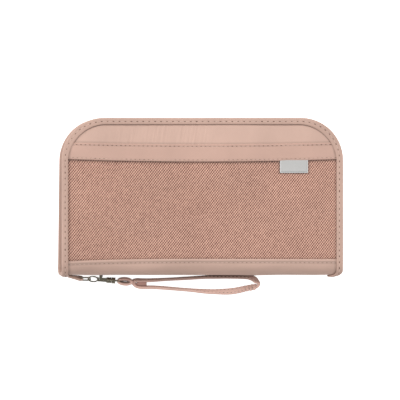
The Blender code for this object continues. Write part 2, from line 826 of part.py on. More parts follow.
def make_clasp(shop, ring):
    """Lobster clasp: hook, sprung lever on its pin, and the swivel that the strap loops through."""
    pivot = shop.empty("clasp_pivot", (RING_REACH, 0, CLASP_Z - RING_MIDDLE_Z), CLASP_TILT)
    pivot.parent = ring
    claw_x = CLAW_RADIUS - CLAW_WIRE / 2 - RING_WIRE / 2 - GAP
    outer, inner = CLAW_RADIUS + CLAW_WIRE / 2, CLAW_RADIUS - CLAW_WIRE / 2
    centre = (claw_x, 0)
    tip, heel = CLAW_TIP, CLAW_HEEL
    wide, narrow = CLAW_SQUASH
    overhang = (GATE_CLEARANCE - GAP) / outer
    claw = oval(centre, outer, wide, tip - overhang, heel, CORNER_STEPS)
    claw += oval(centre, inner, narrow, heel, tip, CORNER_STEPS)
    half_claw = CLAW_THICKNESS / 2
    hook = shop.plate("clasp_hook", [claw], -half_claw, half_claw, "nickel", parent=pivot)
    body_x = claw_x + inner
    half_body = BODY_THICKNESS / 2
    body = shop.plate(
        "clasp_body",
        [rounded_box((body_x, -BODY_WIDTH / 2), (body_x + BODY_LENGTH, BODY_WIDTH / 2), BODY_WIDTH / 4)],
        -half_body,
        half_body,
        parent=pivot,
        cutter=True,
    )
    collar_x = body_x + BODY_LENGTH
    collar = shop.rod(
        "clasp_collar",
        COLLAR_RADIUS,
        (collar_x - BODY_WIDTH / 4, 0, 0),
        (collar_x + COLLAR_LENGTH, 0, 0),
        parent=pivot,
        cutter=True,
    )
    bore = shop.rod(
        "clasp_bore",
        SHANK_RADIUS + GAP,
        (collar_x + COLLAR_LENGTH - SHANK_LENGTH - GAP, 0, 0),
        (collar_x + COLLAR_LENGTH + GAP, 0, 0),
        parent=pivot,
        cutter=True,
    )
    shop.combine(hook, body, "UNION")
    shop.combine(hook, collar, "UNION")
    shop.combine(hook, bore, "DIFFERENCE")
    make_lever(shop, pivot, hook, centre, outer, inner, tip)
    barrel_x = collar_x + COLLAR_LENGTH + GAP
    swivel = shop.rod(
        "swivel_eye", BARREL_RADIUS, (barrel_x, 0, 0), (barrel_x + BARREL_LENGTH, 0, 0), "nickel", pivot
    )
    shank = shop.rod(
        "swivel_shank",
        SHANK_RADIUS,
        (barrel_x - GAP - SHANK_LENGTH + GAP, 0, 0),
        (barrel_x + BARREL_LENGTH / 2, 0, 0),
        parent=pivot,
        cutter=True,
    )
    eye_x = barrel_x + BARREL_LENGTH - EYE_WIRE / 2
    half_eye = STRAP_WIDTH / 2 + GAP + EYE_WIRE / 2
    path = [(eye_x + x, 0, z) for x, z in d_loop(EYE_REACH, 2 * half_eye, EYE_CORNER)]
    eye = shop.wire("swivel_loop", path, EYE_WIRE, parent=pivot, cutter=True)
    shop.combine(swivel, shank, "UNION")
    shop.combine(swivel, eye, "UNION")
    return pivot, eye_x + EYE_REACH


def make_lever(shop, pivot, hook, centre, outer, inner, tip):
    """Lever: the gate that closes the claw, with its thumb catch, pin and spring."""
    pin_x = centre[0] + outer + LEVER_SLOT / 2
    pin_y = BODY_WIDTH / 2 - LEVER_SLOT
    half_slot = LEVER_SLOT / 2
    home = shop.empty("lever_pivot", (pin_x, pin_y, 0))
    home.parent = pivot
    wide, narrow = CLAW_SQUASH
    gate = oval(centre, outer, wide, GATE_START, tip - GATE_CLEARANCE / outer, WIRE_STEPS)
    gate += oval(centre, inner, narrow, tip - GAP / inner, GATE_START, WIRE_STEPS)
    gate = [(x - pin_x, y - pin_y) for x, y in gate]
    hub = arc((0, 0), LEVER_SLOT, math.radians(-60), math.radians(-150), WIRE_STEPS)
    catch_x = LEVER_SLOT * CATCH_SHARES[0]
    catch_y = LEVER_SLOT * CATCH_SHARES[1]
    outline = [
        *gate,
        *reversed(hub),
        (LEVER_SLOT, 0),
        (catch_x, LEVER_SLOT),
        (catch_x, catch_y),
        (0, catch_y),
        (0, LEVER_SLOT),
    ]
    bore = arc((0, 0), LEVER_PIN_RADIUS + GAP, 0, 2 * math.pi, 2 * WIRE_STEPS)[:-1]
    half_lever = half_slot - GAP / 2
    shop.plate("clasp_lever", [outline, bore], -half_lever, half_lever, "nickel", parent=home)
    slot_outline = plain_box(
        (pin_x - LEVER_SLOT * 3, pin_y - LEVER_SLOT - GAP), (pin_x + catch_x + LEVER_SLOT, BODY_WIDTH)
    )
    slot = shop.plate("lever_slot", [slot_outline], -half_slot, half_slot, parent=pivot, cutter=True)
    shop.combine(hook, slot, "DIFFERENCE")
    half_body = BODY_THICKNESS / 2
    hole = shop.rod(
        "lever_pin_hole",
        LEVER_PIN_RADIUS + GAP / 2,
        (pin_x, pin_y, -half_body - GAP),
        (pin_x, pin_y, half_body + GAP),
        parent=pivot,
        cutter=True,
    )
    shop.combine(hook, hole, "DIFFERENCE")
    shop.rod(
        "lever_pin",
        LEVER_PIN_RADIUS,
        (pin_x, pin_y, -half_body),
        (pin_x, pin_y, half_body),
        "spring_steel",
        pivot,
    )


def smooth_route(points, steps):
    """A smooth curve through the points of a route."""
    ends = [points[0], *points, points[-1]]
    route = []
    for i in range(len(points) - 1):
        a, b, c, d = (Vector(p) for p in ends[i : i + 4])
        for step in range(steps):
            t = step / steps
            place = 0.5 * (
                2 * b + (c - a) * t + (2 * a - 5 * b + 4 * c - d) * t * t + (3 * b - a - 3 * c + d) * t**3
            )
            route.append(place)
    route.append(Vector(points[-1]))
    return route


def ribbon_outline(route, thickness):
    """Plan outline of a strap that stands on its edge along a route."""
    left, right = [], []
    for i, place in enumerate(route):
        ahead = route[min(i + 1, len(route) - 1)] - route[max(i - 1, 0)]
        side = Vector((-ahead.y, ahead.x)).normalized() * thickness / 2
        left.append(tuple(place + side))
        right.append(tuple(place - side))
    return left + right[::-1]


def make_strap(shop, clasp, eye_x):
    """Strap: the short loop in the swivel's eye, the sewn lap and the wrist loop."""
    left = eye_x - EYE_WIRE / 2 - GAP - STRAP_CLOTH
    centre = (left + SHORT_LOOP_LENGTH / 2, 0)
    half_length, half_width = SHORT_LOOP_LENGTH / 2, SHORT_LOOP_WIDTH / 2
    steps = 2 * CORNER_STEPS
    turns = [2 * math.pi * i / steps for i in range(steps)]
    loops = [
        [(centre[0] + a * math.cos(t), centre[1] + b * math.sin(t)) for t in turns]
        for a, b in ((half_length, half_width), (half_length - STRAP_CLOTH, half_width - STRAP_CLOTH))
    ]
    shop.plate("strap_short_loop", loops, -STRAP_WIDTH / 2, STRAP_WIDTH / 2, "strap", parent=clasp)
    low, high = STRAP_LIFT, STRAP_LIFT + STRAP_WIDTH
    places = [(RING_X + x, RING_Y + y) for x, y in STRAP_ROUTE]
    route = smooth_route(places, STRAP_STEPS)
    loop = shop.plate("wrist_loop", [ribbon_outline(route, STRAP_CLOTH)], low, high, "strap")
    lap_left, lap_top = places[0][0], places[0][1] - STRAP_CLOTH / 2 - GAP
    lap_outline = plain_box((lap_left, lap_top - LAP_WIDTH), (lap_left + LAP_LENGTH, lap_top))
    lap = shop.plate("strap_lap", [lap_outline], low, high, "strap")
    keep_place(loop, clasp)
    keep_place(lap, clasp)


def main():
    """Build the wallet."""
    clear_scene()
    shop = Workshop()
    fold_y, fold_z = shell_point(FOLD_ANGLE, 0)
    spine = shop.empty("spine_fold", (0, fold_y, THICKNESS - fold_z))
    front = shop.empty("cover_fold", (0, fold_y, fold_z))
    keep_place(front, spine)
    make_rear_cover(shop)
    make_spine(shop, spine)
    before = set(shop.parts.objects)
    make_front_cover(shop)
    for piece in set(shop.parts.objects) - before:
        keep_place(piece, front)
    make_zip(shop, front)
    make_slider(shop)
    ring = make_ring(shop, spine)
    clasp, eye_x = make_clasp(shop, ring)
    make_strap(shop, clasp, eye_x)


main()
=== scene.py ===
"""Dresses the travel document wallet: fabric shell, bindings, zip, linings, clasp and wrist strap.

Metres, in the model's frame: +X right, +Y away from the spine and +Z out of the front cover. The
camera looks straight down on the front cover. Lengths that read best in millimetres are written
with the MM unit.
"""

import logging
import math
from bisect import bisect_left
from collections.abc import Callable, Sequence
from dataclasses import dataclass, field
from enum import Enum

import bmesh
import bpy
from mathutils import Matrix, Vector, noise

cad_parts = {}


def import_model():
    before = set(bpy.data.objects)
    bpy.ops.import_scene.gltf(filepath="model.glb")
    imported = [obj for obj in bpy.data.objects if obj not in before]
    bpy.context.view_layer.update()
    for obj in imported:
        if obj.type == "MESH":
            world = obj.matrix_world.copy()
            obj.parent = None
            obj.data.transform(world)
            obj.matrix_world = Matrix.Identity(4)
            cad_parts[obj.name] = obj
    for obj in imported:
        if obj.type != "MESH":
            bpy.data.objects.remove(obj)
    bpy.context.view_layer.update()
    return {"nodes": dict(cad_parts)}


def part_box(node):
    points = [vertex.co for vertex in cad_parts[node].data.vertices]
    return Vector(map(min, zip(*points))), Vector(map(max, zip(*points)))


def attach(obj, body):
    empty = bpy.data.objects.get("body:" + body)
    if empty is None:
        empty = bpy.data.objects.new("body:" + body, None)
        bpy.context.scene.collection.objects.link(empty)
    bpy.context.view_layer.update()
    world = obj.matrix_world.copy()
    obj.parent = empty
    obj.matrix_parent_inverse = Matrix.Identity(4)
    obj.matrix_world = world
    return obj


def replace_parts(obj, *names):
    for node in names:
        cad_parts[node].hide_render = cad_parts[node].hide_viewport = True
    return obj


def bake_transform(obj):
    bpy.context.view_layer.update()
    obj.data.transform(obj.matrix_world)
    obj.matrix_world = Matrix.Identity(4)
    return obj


LOG = logging.getLogger("wallet")
MM = 0.001
Point = tuple[float, float, float]
Pair = tuple[float, float]


class Side(Enum):
    """Which cover a piece belongs to."""

    FRONT = "front"
    REAR = "rear"


# Finishes


def linear(code: str) -> tuple[float, float, float, float]:
    """Turn an sRGB hex colour into linear values.

    Args:
        code: the colour as six hex digits.

    Returns:
        Red, green, blue and an alpha of one.
    """
    channels = [int(code[i : i + 2], 16) / 255 for i in (0, 2, 4)]
    values = [c / 12.92 if c <= 0.04045 else ((c + 0.055) / 1.055) ** 2.4 for c in channels]
    return (values[0], values[1], values[2], 1.0)


def add_node(tree: bpy.types.NodeTree, kind: str, inputs: dict, **settings) -> bpy.types.Node:
    """Add a node with its settings, and fill or link its inputs.

    Args:
        tree: the node tree.
        kind: the node's type name.
        inputs: input name or index to a value or an output socket.
        settings: attributes of the node.

    Returns:
        The node.
    """
    node = tree.nodes.new(kind)
    for name, value in settings.items():
        setattr(node, name, value)
    for name, value in inputs.items():
        if isinstance(value, bpy.types.NodeSocket):
            tree.links.new(value, node.inputs[name])
        else:
            node.inputs[name].default_value = value
    return node


@dataclass(frozen=True)
class Cloth:
    """A woven polyester cloth.

    The pattern is the product of two waves, one along each thread direction, which is how a plain
    weave's checker of raised threads shades from a step away.
    """

    name: str
    colour: str
    shade: str
    thread: Pair
    relief: float
    contrast: float = 0.5
    roughness: float = 0.75
    sheen: float = 0.15
    slant: float = 0.0
    crease: float = 0.12 * MM
    crease_size: float = 14 * MM
    mottle: float = 0.12
    yarn_size: float = 2.2 * MM
    yarn_share: float = 0.9
    patch_size: float = 38 * MM
    # How far the painted shade, read from the mesh's "seam" attribute, darkens the colour
    painted_shade_depth: float = 0.62

    def build(self) -> bpy.types.Material:
        """Make the material, or find it if it is made already.

        Returns:
            The material.
        """
        found = bpy.data.materials.get(self.name)
        if found:
            return found
        made = bpy.data.materials.new(self.name)
        made.use_nodes = True
        tree = made.node_tree
        shader = tree.nodes["Principled BSDF"]
        place = add_node(tree, "ShaderNodeTexCoord", {}).outputs["Object"]
        axes = add_node(tree, "ShaderNodeSeparateXYZ", {0: place})
        height_along = self._combined(tree, axes)
        waves = []
        for socket, pitch in ((axes.outputs["X"], self.thread[0]), (height_along, self.thread[1])):
            angle = add_node(tree, "ShaderNodeMath", {0: socket, 1: math.pi / pitch}, operation="MULTIPLY")
            waves.append(
                [
                    add_node(tree, "ShaderNodeMath", {0: angle.outputs[0]}, operation=kind).outputs[0]
                    for kind in ("SINE", "COSINE")
                ]
            )
        (sine_x, cosine_x), (sine_y, cosine_y) = waves
        checker = add_node(tree, "ShaderNodeMath", {0: sine_x, 1: sine_y}, operation="MULTIPLY")
        other = add_node(tree, "ShaderNodeMath", {0: cosine_x, 1: cosine_y}, operation="MULTIPLY")
        threads = add_node(
            tree,
            "ShaderNodeMath",
            {0: other.outputs[0], 1: self.slant, 2: checker.outputs[0]},
            operation="MULTIPLY_ADD",
        )
        yarn = add_node(
            tree, "ShaderNodeTexNoise", {"Vector": place, "Scale": 1 / self.yarn_size, "Detail": 2.0}
        )
        uneven = add_node(
            tree,
            "ShaderNodeMath",
            {0: yarn.outputs["Fac"], 1: self.yarn_share, 2: threads.outputs[0]},
            operation="MULTIPLY_ADD",
        )
        middle = self.yarn_share / 2
        blend = add_node(
            tree,
            "ShaderNodeMapRange",
            {"Value": uneven.outputs[0], "From Min": middle - 1.0, "From Max": middle + 1.0,
             "To Min": 0.5 - self.contrast / 2, "To Max": 0.5 + self.contrast / 2},
        )
        colours = add_node(
            tree,
            "ShaderNodeMix",
            {"Factor": blend.outputs["Result"], "A": linear(self.shade), "B": linear(self.colour)},
            data_type="RGBA",
        )
        patches = add_node(
            tree, "ShaderNodeTexNoise", {"Vector": place, "Scale": 1 / self.patch_size, "Detail": 3.0}
        )
        tone = add_node(
            tree,
            "ShaderNodeMapRange",
            {"Value": patches.outputs["Fac"], "From Min": 0.3, "From Max": 0.7,
             "To Min": 1 - self.mottle / 2, "To Max": 1 + self.mottle / 2},
        )
        toned = add_node(
            tree,
            "ShaderNodeVectorMath",
            {0: colours.outputs["Result"], "Scale": tone.outputs["Result"]},
            operation="SCALE",
        )
        # Painted shade: the mesh's "seam" attribute darkens the colour where shadow falls, in grooves,
        # under raised edges, under the spine and inside the strap's loops
        seams = add_node(tree, "ShaderNodeAttribute", {}, attribute_name="seam")
        painted_shade_factor = add_node(
            tree,
            "ShaderNodeMath",
            {0: seams.outputs["Fac"], 1: -self.painted_shade_depth, 2: 1.0},
            operation="MULTIPLY_ADD",
        )
        shaded = add_node(
            tree, "ShaderNodeVectorMath", {0: toned.outputs[0], "Scale": painted_shade_factor.outputs[0]}, operation="SCALE"
        )
        tree.links.new(shaded.outputs[0], shader.inputs["Base Color"])
        creases = add_node(
            tree, "ShaderNodeTexNoise", {"Vector": place, "Scale": 1 / self.crease_size, "Detail": 2.0}
        )
        soft = add_node(
            tree,
            "ShaderNodeBump",
            {"Height": creases.outputs["Fac"], "Distance": self.crease, "Strength": 1.0},
        )
        fine = add_node(
            tree,
            "ShaderNodeBump",
            {"Height": uneven.outputs[0], "Distance": self.relief, "Strength": 1.0,
             "Normal": soft.outputs["Normal"]},
        )
        tree.links.new(fine.outputs["Normal"], shader.inputs["Normal"])
        shader.inputs["Roughness"].default_value = self.roughness
        shader.inputs["Sheen Weight"].default_value = self.sheen
        shader.inputs["Sheen Roughness"].default_value = 0.5
        return made

    def _combined(self, tree: bpy.types.NodeTree, axes: bpy.types.Node) -> bpy.types.NodeSocket:
        """Length along the cloth across X: Y on the faces, and Z as well on the walls and the spine."""
        inputs = {0: axes.outputs["Y"], 1: axes.outputs["Z"]}
        return add_node(tree, "ShaderNodeMath", inputs, operation="ADD").outputs[0]


@dataclass(frozen=True)
class Metal:
    """Zinc casting with a polished plate: mirror-like, with faint waviness from the barrel polish."""

    name: str
    colour: str
    roughness: float = 0.16
    scuff_size: float = 1.2 * MM
    ripple: float = 0.03 * MM

    def build(self) -> bpy.types.Material:
        """Make the material, or find it if it is made already.

        Returns:
            The material.
        """
        found = bpy.data.materials.get(self.name)
        if found:
            return found
        made = bpy.data.materials.new(self.name)
        made.use_nodes = True
        tree = made.node_tree
        shader = tree.nodes["Principled BSDF"]
        place = add_node(tree, "ShaderNodeTexCoord", {}).outputs["Object"]
        scuffs = add_node(
            tree, "ShaderNodeTexNoise", {"Vector": place, "Scale": 1 / self.scuff_size, "Detail": 3.0}
        )
        rough = add_node(
            tree,
            "ShaderNodeMapRange",
            {"Value": scuffs.outputs["Fac"], "From Min": 0.3, "From Max": 0.7,
             "To Min": self.roughness * 0.7, "To Max": self.roughness * 1.5},
        )
        waves = add_node(
            tree, "ShaderNodeBump", {"Height": scuffs.outputs["Fac"], "Distance": self.ripple}
        )
        tree.links.new(rough.outputs["Result"], shader.inputs["Roughness"])
        tree.links.new(waves.outputs["Normal"], shader.inputs["Normal"])
        shader.inputs["Base Color"].default_value = linear(self.colour)
        shader.inputs["Metallic"].default_value = 1.0
        return made


# Plain-weave polyester, 0.5 mm threads, drawn at 0.8 mm so that its grain still shows: matt and even
SMOOTH = Cloth("plain_weave_polyester", "D8B7A8", "C8A595", (0.8 * MM, 0.8 * MM), 0.02 * MM, 0.35)
# The same cloth in a slightly deeper dye lot for the band over the pocket
BAND = Cloth("plain_weave_polyester_band", "D4B1A2", "C29C8C", (0.8 * MM, 0.8 * MM), 0.02 * MM, 0.35)
# Ballistic weave of thick twisted yarn, 1.1 by 1.4 mm: a strong checker of lit threads and dark gaps
WOVEN = Cloth(
    "ballistic_weave_polyester", "F3C1AB", "65382E", (1.109 * MM, 1.403 * MM), 0.22 * MM, 1.3,
    roughness=0.85, slant=0.3,
)
# Folded bias tape of the smooth cloth, pressed hard by its stitching
BINDING = Cloth("bias_tape", "CFB0A1", "BD9A8B", (0.7 * MM, 0.7 * MM), 0.02 * MM, 0.35, crease_size=7 * MM)
# Strap of folded cloth; where it creases and where it runs under the spine, its colour is darkened with
# painted shade
STRAP = Cloth(
    "folded_strap_cloth", "EDCABD", "D5AC9E", (0.7 * MM, 0.7 * MM), 0.03 * MM, 0.5, crease_size=4 * MM
)
# Grey damask label tape, bare, with its fine ribs
LABEL = Cloth("damask_label_tape", "C9C8C6", "B4B3B1", (0.8 * MM, 0.6 * MM), 0.02 * MM, 0.5, mottle=0.05)
# Pale weft floats along the label's folded edges
LABEL_EDGE = Cloth("damask_label_edge", "DDDDDC", "CBCBCA", (0.8 * MM, 0.6 * MM), 0.02 * MM, 0.5)
# Thin nylon lining taffeta, smoother than the shell
LINING = Cloth("nylon_taffeta", "B08C80", "9C786C", (0.6 * MM, 0.6 * MM), 0.01 * MM, 0.3, roughness=0.55)
# Knitted edge of the zip's tape
TAPE = Cloth("zip_tape_twill", "BC998B", "9E7A6C", (0.7 * MM, 0.9 * MM), 0.05 * MM, 0.6)
# Polyester sewing thread, waxed and slightly glossy
THREAD = Cloth("sewing_thread", "E2C8BB", "CDAF9F", (0.4 * MM, 0.4 * MM), 0.01 * MM, 0.3, roughness=0.5)
# Needle holes, where the thread pulls the cloth down and the light doesn't reach
HOLE = Cloth(
    "needle_hole", "7A574B", "6A493E", (0.4 * MM, 0.4 * MM), 0.01 * MM, 0.3, roughness=0.9, sheen=0.0
)
# Cut end of the strap inside the lap: the strap's cloth painted darker with the shade that falls there
STRAP_IN_PAINTED_SHADE = Cloth(
    "strap_cloth_painted_shade", "BF968A", "A87E73", (0.7 * MM, 0.7 * MM), 0.03 * MM, 0.5, crease_size=3 * MM
)
# Nylon monofilament of the coil teeth
COIL = Cloth(
    "nylon_coil", "B8917F", "A27C6B", (0.5 * MM, 0.5 * MM), 0.005 * MM, 0.2, roughness=0.35, sheen=0.0
)
# Nickel plate on zinc: bright, a little warm
NICKEL = Metal("nickel_plated_zinc", "8C8676", 0.14)
# Drawn spring steel of the lever's pin
STEEL = Metal("drawn_steel", "B5B5B5", 0.25)
# Recycled board stiffener, hidden between the layers
STIFFENER = Cloth("pressed_board", "A08C78", "8C7864", (1.5 * MM, 1.5 * MM), 0.02 * MM, 0.3, sheen=0.0)


# Geometry of the shell


def clamped(share: float) -> float:
    """A share that is held between 0 and 1."""
    return max(0.0, min(1.0, share))


@dataclass
class Shell:
    """The wallet's outer form: two flat covers joined by a rounded spine."""

    width: float = 0.2469
    top: float = 0.0691
    bend: float = -0.0570
    thickness: float = 0.0230
    reach: float = 0.0131
    squareness: float = 2.2
    corner: float = 0.0370
    foot: Pair = (0.0018, 0.0042)
    lean: float = 0.0031
    slip: float = 0.0014
    slip_span: Pair = (0.045, -0.070)
    fold_angle: float = math.radians(40)
    crown: float = 0.9 * MM
    crown_start: float = 5.5 * MM
    crown_reach: float = 9 * MM
    sink: float = 1.1 * MM
    bunch: float = 1.1 * MM

    @property
    def face(self) -> float:
        """Height of the front cover's cloth at its edge, where the edge tape grips it."""
        return self.thickness - self.sink

    def across(self, angle: float, depth: float) -> Pair:
        """Place round the spine.

        Args:
            angle: angle up from the spine's middle.
            depth: depth under the outer face.

        Returns:
            Y and Z.
        """
        power = 2 / self.squareness
        half = self.thickness / 2
        along = abs(math.cos(angle)) ** power
        up = math.copysign(abs(math.sin(angle)) ** power, math.sin(angle))
        return self.bend - (self.reach - depth) * along, half + (half - depth) * up

    def shift(self, z: float, y: float) -> float:
        """Sideways lean of the covers, with the rear one turned a little to the left.

        Args:
            z: the height.
            y: the place along Y.

        Returns:
            Distance to the right of the model's middle.
        """
        share = max(-1.0, min(1.0, (z - self.thickness / 2) / (self.thickness / 2 * 0.8)))
        start, end = self.slip_span
        ramp = clamped((start - y) / (start - end))
        under = clamped((0.76 * self.thickness - z) / (0.35 * self.thickness))
        return self.lean / 2 * share - self.slip * ramp * under

    def foot_in(self, y: float, side: float) -> float:
        """How far the rounded foot draws the edge in at a place along Y.

        Args:
            y: the place.
            side: below zero for the left end and above it for the right end.

        Returns:
            Distance in from the straight edge.
        """
        radius = self.foot[0] if side < 0 else self.foot[1]
        rise = y - (self.bend - self.reach)
        if rise >= radius:
            return 0.0
        return radius - math.sqrt(max(radius**2 - (radius - rise) ** 2, 0.0))

    def half_width(self, y: float, inset: float) -> float:
        """Half the cover's width at a place along Y.

        Args:
            y: the place.
            inset: how far the line lies in from the cover's edge.

        Returns:
            Half the width between the two ends of the line.
        """
        start = self.top - self.corner
        half = self.width / 2 - inset
        if y <= start:
            return half
        radius = self.corner - inset
        rise = min(y - start, radius)
        return half - radius + math.sqrt(max(radius * radius - rise * rise, 0))

    def edge_distance(self, x: float, y: float) -> float:
        """Distance in from the cover's edge.

        Args:
            x: the place, measured from the cover's middle.
            y: the place along Y.

        Returns:
            The distance.
        """
        half = self.width / 2
        centre = (half - self.corner, self.top - self.corner)
        if abs(x) > centre[0] and y > centre[1]:
            return self.corner - math.hypot(abs(x) - centre[0], y - centre[1])
        return min(half - abs(x), self.top - y)

    def tape_extra(self, x: float, y: float) -> float:
        """Extra width of the edge tape where it bunches up round a corner of the cover.

        Args:
            x: the place, measured from the cover's middle.
            y: the place along Y.

        Returns:
            The extra width.
        """
        across = abs(x) - (self.width / 2 - self.corner)
        up = y - (self.top - self.corner)
        if across <= 0 or up <= 0:
            return 0.0
        return self.bunch * math.sin(2 * math.atan2(up, across))

    def crowned(self, x: float, y: float) -> float:
        """Height that the soft face stands up by at a place."""
        inward = self.edge_distance(x, y) - self.crown_start
        return self.crown * (1 - math.exp(-max(inward, 0) / self.crown_reach))


def mesh_piece(name: str, verts: Sequence, faces: Sequence, finish: Cloth | Metal) -> bpy.types.Object:
    """Make a smooth-shaded mesh object with its finish.

    Args:
        name: the piece's name.
        verts: its points.
        faces: its faces, as lists of point numbers.
        finish: its finish.

    Returns:
        The object, linked to the scene.
    """
    mesh = bpy.data.meshes.new(name)
    mesh.from_pydata([tuple(v) for v in verts], [], [tuple(f) for f in faces])
    shape = bmesh.new()
    shape.from_mesh(mesh)
    bmesh.ops.recalc_face_normals(shape, faces=shape.faces)
    shape.to_mesh(mesh)
    shape.free()
    mesh.shade_smooth()
    mesh.materials.append(finish.build())
    made = bpy.data.objects.new(name, mesh)
    bpy.context.scene.collection.objects.link(made)
    return made


def closed_sheet(
    name: str, top: list[list[Vector]], thickness: float, finish: Cloth, down: Callable | None = None
) -> bpy.types.Object:
    """A sheet of cloth with real thickness, from the rows of its upper face.

    Args:
        name: the piece's name.
        top: rows of points on the upper face.
        thickness: how thick the cloth is.
        finish: its finish.
        down: gives the direction into the cloth at a row and column; minus Z if left out.

    Returns:
        The object.
    """
    rows, columns = len(top), len(top[0])
    verts = [p for row in top for p in row]
    for i, row in enumerate(top):
        for j, p in enumerate(row):
            into = down(i, j) if down else Vector((0, 0, -1))
            verts.append(p + into * thickness)
    lower = rows * columns
    faces = []
    for i in range(rows - 1):
        for j in range(columns - 1):
            a, b = i * columns + j, (i + 1) * columns + j
            faces.append((a, a + 1, b + 1, b))
            faces.append((lower + a, lower + b, lower + b + 1, lower + a + 1))
    rim = list(range(columns))
    rim += [i * columns + columns - 1 for i in range(1, rows)]
    rim += [(rows - 1) * columns + j for j in range(columns - 2, -1, -1)]
    rim += [i * columns for i in range(rows - 2, 0, -1)]
    for a, b in zip(rim, rim[1:] + rim[:1]):
        faces.append((a, lower + a, lower + b, b))
    return mesh_piece(name, verts, faces, finish)


def distances(path: Sequence[tuple[Vector, Vector]]) -> list[float]:
    """Distance along a path at each of its places.

    Args:
        path: the places, each with a direction.

    Returns:
        The distances, from zero at the first place.
    """
    runs = [0.0]
    for (a, _), (b, _) in zip(path, path[1:]):
        runs.append(runs[-1] + (b - a).length)
    return runs


def read_path(
    path: Sequence[tuple[Vector, Vector]], runs: Sequence[float], distance: float
) -> tuple[Vector, Vector, Vector]:
    """Read a path at a distance along it.

    Args:
        path: the places, each with its outward direction.
        runs: the distance along the path at each place.
        distance: the distance to read at.

    Returns:
        The place, its outward direction and the direction ahead.
    """
    k = min(max(bisect_left(runs, distance), 1), len(runs) - 1)
    (a, first), (b, second) = path[k - 1], path[k]
    share = (distance - runs[k - 1]) / max(runs[k] - runs[k - 1], 1e-9)
    return a.lerp(b, share), first.lerp(second, share), (b - a).normalized()


def circle(radius: float, count: int) -> list[Pair]:
    """Points of a circle about zero."""
    turns = (2 * math.pi * k / count for k in range(count))
    return [(radius * math.cos(turn), radius * math.sin(turn)) for turn in turns]


def sweep(
    name: str,
    frames: list[tuple[Vector, Vector, Vector]],
    section: Callable[[int], list[Pair]] | list[Pair],
    finish: Cloth | Metal,
    closed: bool = False,
) -> bpy.types.Object:
    """Carry a closed section along a path.

    Args:
        name: the piece's name.
        frames: for each place on the path, its point and the section's two directions.
        section: the section's points, or a function that gives them at a place.
        finish: the finish.
        closed: whether the path closes on itself.

    Returns:
        The object.
    """
    verts: list[Vector] = []
    faces: list[tuple[int, ...]] = []
    count = 0
    for i, (place, first, second) in enumerate(frames):
        points = section(i) if callable(section) else section
        count = len(points)
        verts += [place + first * a + second * b for a, b in points]
    total = len(frames)
    for i in range(total if closed else total - 1):
        k = (i + 1) % total
        for j in range(count):
            m = (j + 1) % count
            faces.append((i * count + j, i * count + m, k * count + m, k * count + j))
    if not closed:
        faces.append(tuple(range(count))[::-1])
        faces.append(tuple((total - 1) * count + j for j in range(count)))
    return mesh_piece(name, verts, faces, finish)


def stitches(
    name: str, path: list[tuple[Vector, Vector]], pitch: float, length: float, radius: float
) -> bpy.types.Object:
    """A row of stitches: short threads that dip into the cloth at both ends.

    Args:
        name: the row's name.
        path: close points of the row, each with the cloth's outward direction.
        pitch: distance from stitch to stitch.
        length: visible length of a stitch.
        radius: half the thread's thickness.

    Returns:
        The object.
    """
    verts: list[Vector] = []
    faces: list[tuple[int, ...]] = []
    runs = distances(path)
    sides, steps = 6, 6
    probe, dip = 0.2 * MM, 0.9
    for k in range(int(runs[-1] / pitch)):
        start = k * pitch + (pitch - length) / 2
        base = len(verts)
        for step in range(steps + 1):
            share = step / steps
            here = start + share * length
            place, out, _ = read_path(path, runs, here)
            before = read_path(path, runs, here - probe)[0]
            after = read_path(path, runs, here + probe)[0]
            ahead = (after - before).normalized()
            side = ahead.cross(out).normalized()
            swell = math.sin(math.pi * min(max(share, 0.06), 0.94)) ** 0.5
            centre = place + out * (radius * (1.2 * swell - dip))
            for n in range(sides):
                turn = 2 * math.pi * n / sides
                verts.append(
                    centre + (side * math.cos(turn) + out.normalized() * math.sin(turn)) * radius * swell
                )
        for step in range(steps):
            for n in range(sides):
                m = (n + 1) % sides
                a, b = base + step * sides, base + (step + 1) * sides
                faces.append((a + n, a + m, b + m, b + n))
        faces.append(tuple(base + n for n in range(sides))[::-1])
        faces.append(tuple(base + steps * sides + n for n in range(sides)))
    return mesh_piece(name, verts, faces, THREAD)


def needle_holes(
    name: str, path: list[tuple[Vector, Vector]], pitch: float, length: float, width: float
) -> bpy.types.Object:
    """The dark dips between the stitches of a row.

    Args:
        name: the row's name.
        path: close points of the row, each with the cloth's outward direction.
        pitch: distance from stitch to stitch.
        length: length of a dip along the row.
        width: width of a dip across the row.

    Returns:
        The object.
    """
    verts: list[Vector] = []
    faces: list[tuple[int, ...]] = []
    runs = distances(path)
    sides, over, under = 8, 0.10 * MM, 0.25 * MM
    for n in range(int(runs[-1] / pitch) + 1):
        place, out, ahead = read_path(path, runs, n * pitch)
        out.normalize()
        side = ahead.cross(out).normalized()
        size = 0.85 + 0.5 * noise.noise(Vector((n * 0.73, len(path) * 0.1, 4.0)))
        base = len(verts)
        verts.append(place + out * over)
        verts.append(place - out * under)
        for turn in (2 * math.pi * m / sides for m in range(sides)):
            verts.append(
                place + (ahead * math.cos(turn) * length + side * math.sin(turn) * width) * size / 2
            )
        for m in range(sides):
            a, b = base + 2 + m, base + 2 + (m + 1) % sides
            faces.append((base, a, b))
            faces.append((base + 1, b, a))
    return mesh_piece(name, verts, faces, HOLE)


def paint_shade(piece: bpy.types.Object, shade: Callable[[Vector], float]) -> None:
    """Store the painted shade, from 0 to 1, that darkens the cloth's colour where shadow falls, for its
    finish to read.

    Args:
        piece: the piece.
        shade: gives the shade at a point.
    """
    store = piece.data.attributes.new("seam", "FLOAT", "POINT")
    for entry, vertex in zip(store.data, piece.data.vertices):
        entry.value = clamped(shade(vertex.co))


def near(distance: float, width: float) -> float:
    """One at zero distance, and falling away over the width."""
    return math.exp(-((distance / width) ** 2))


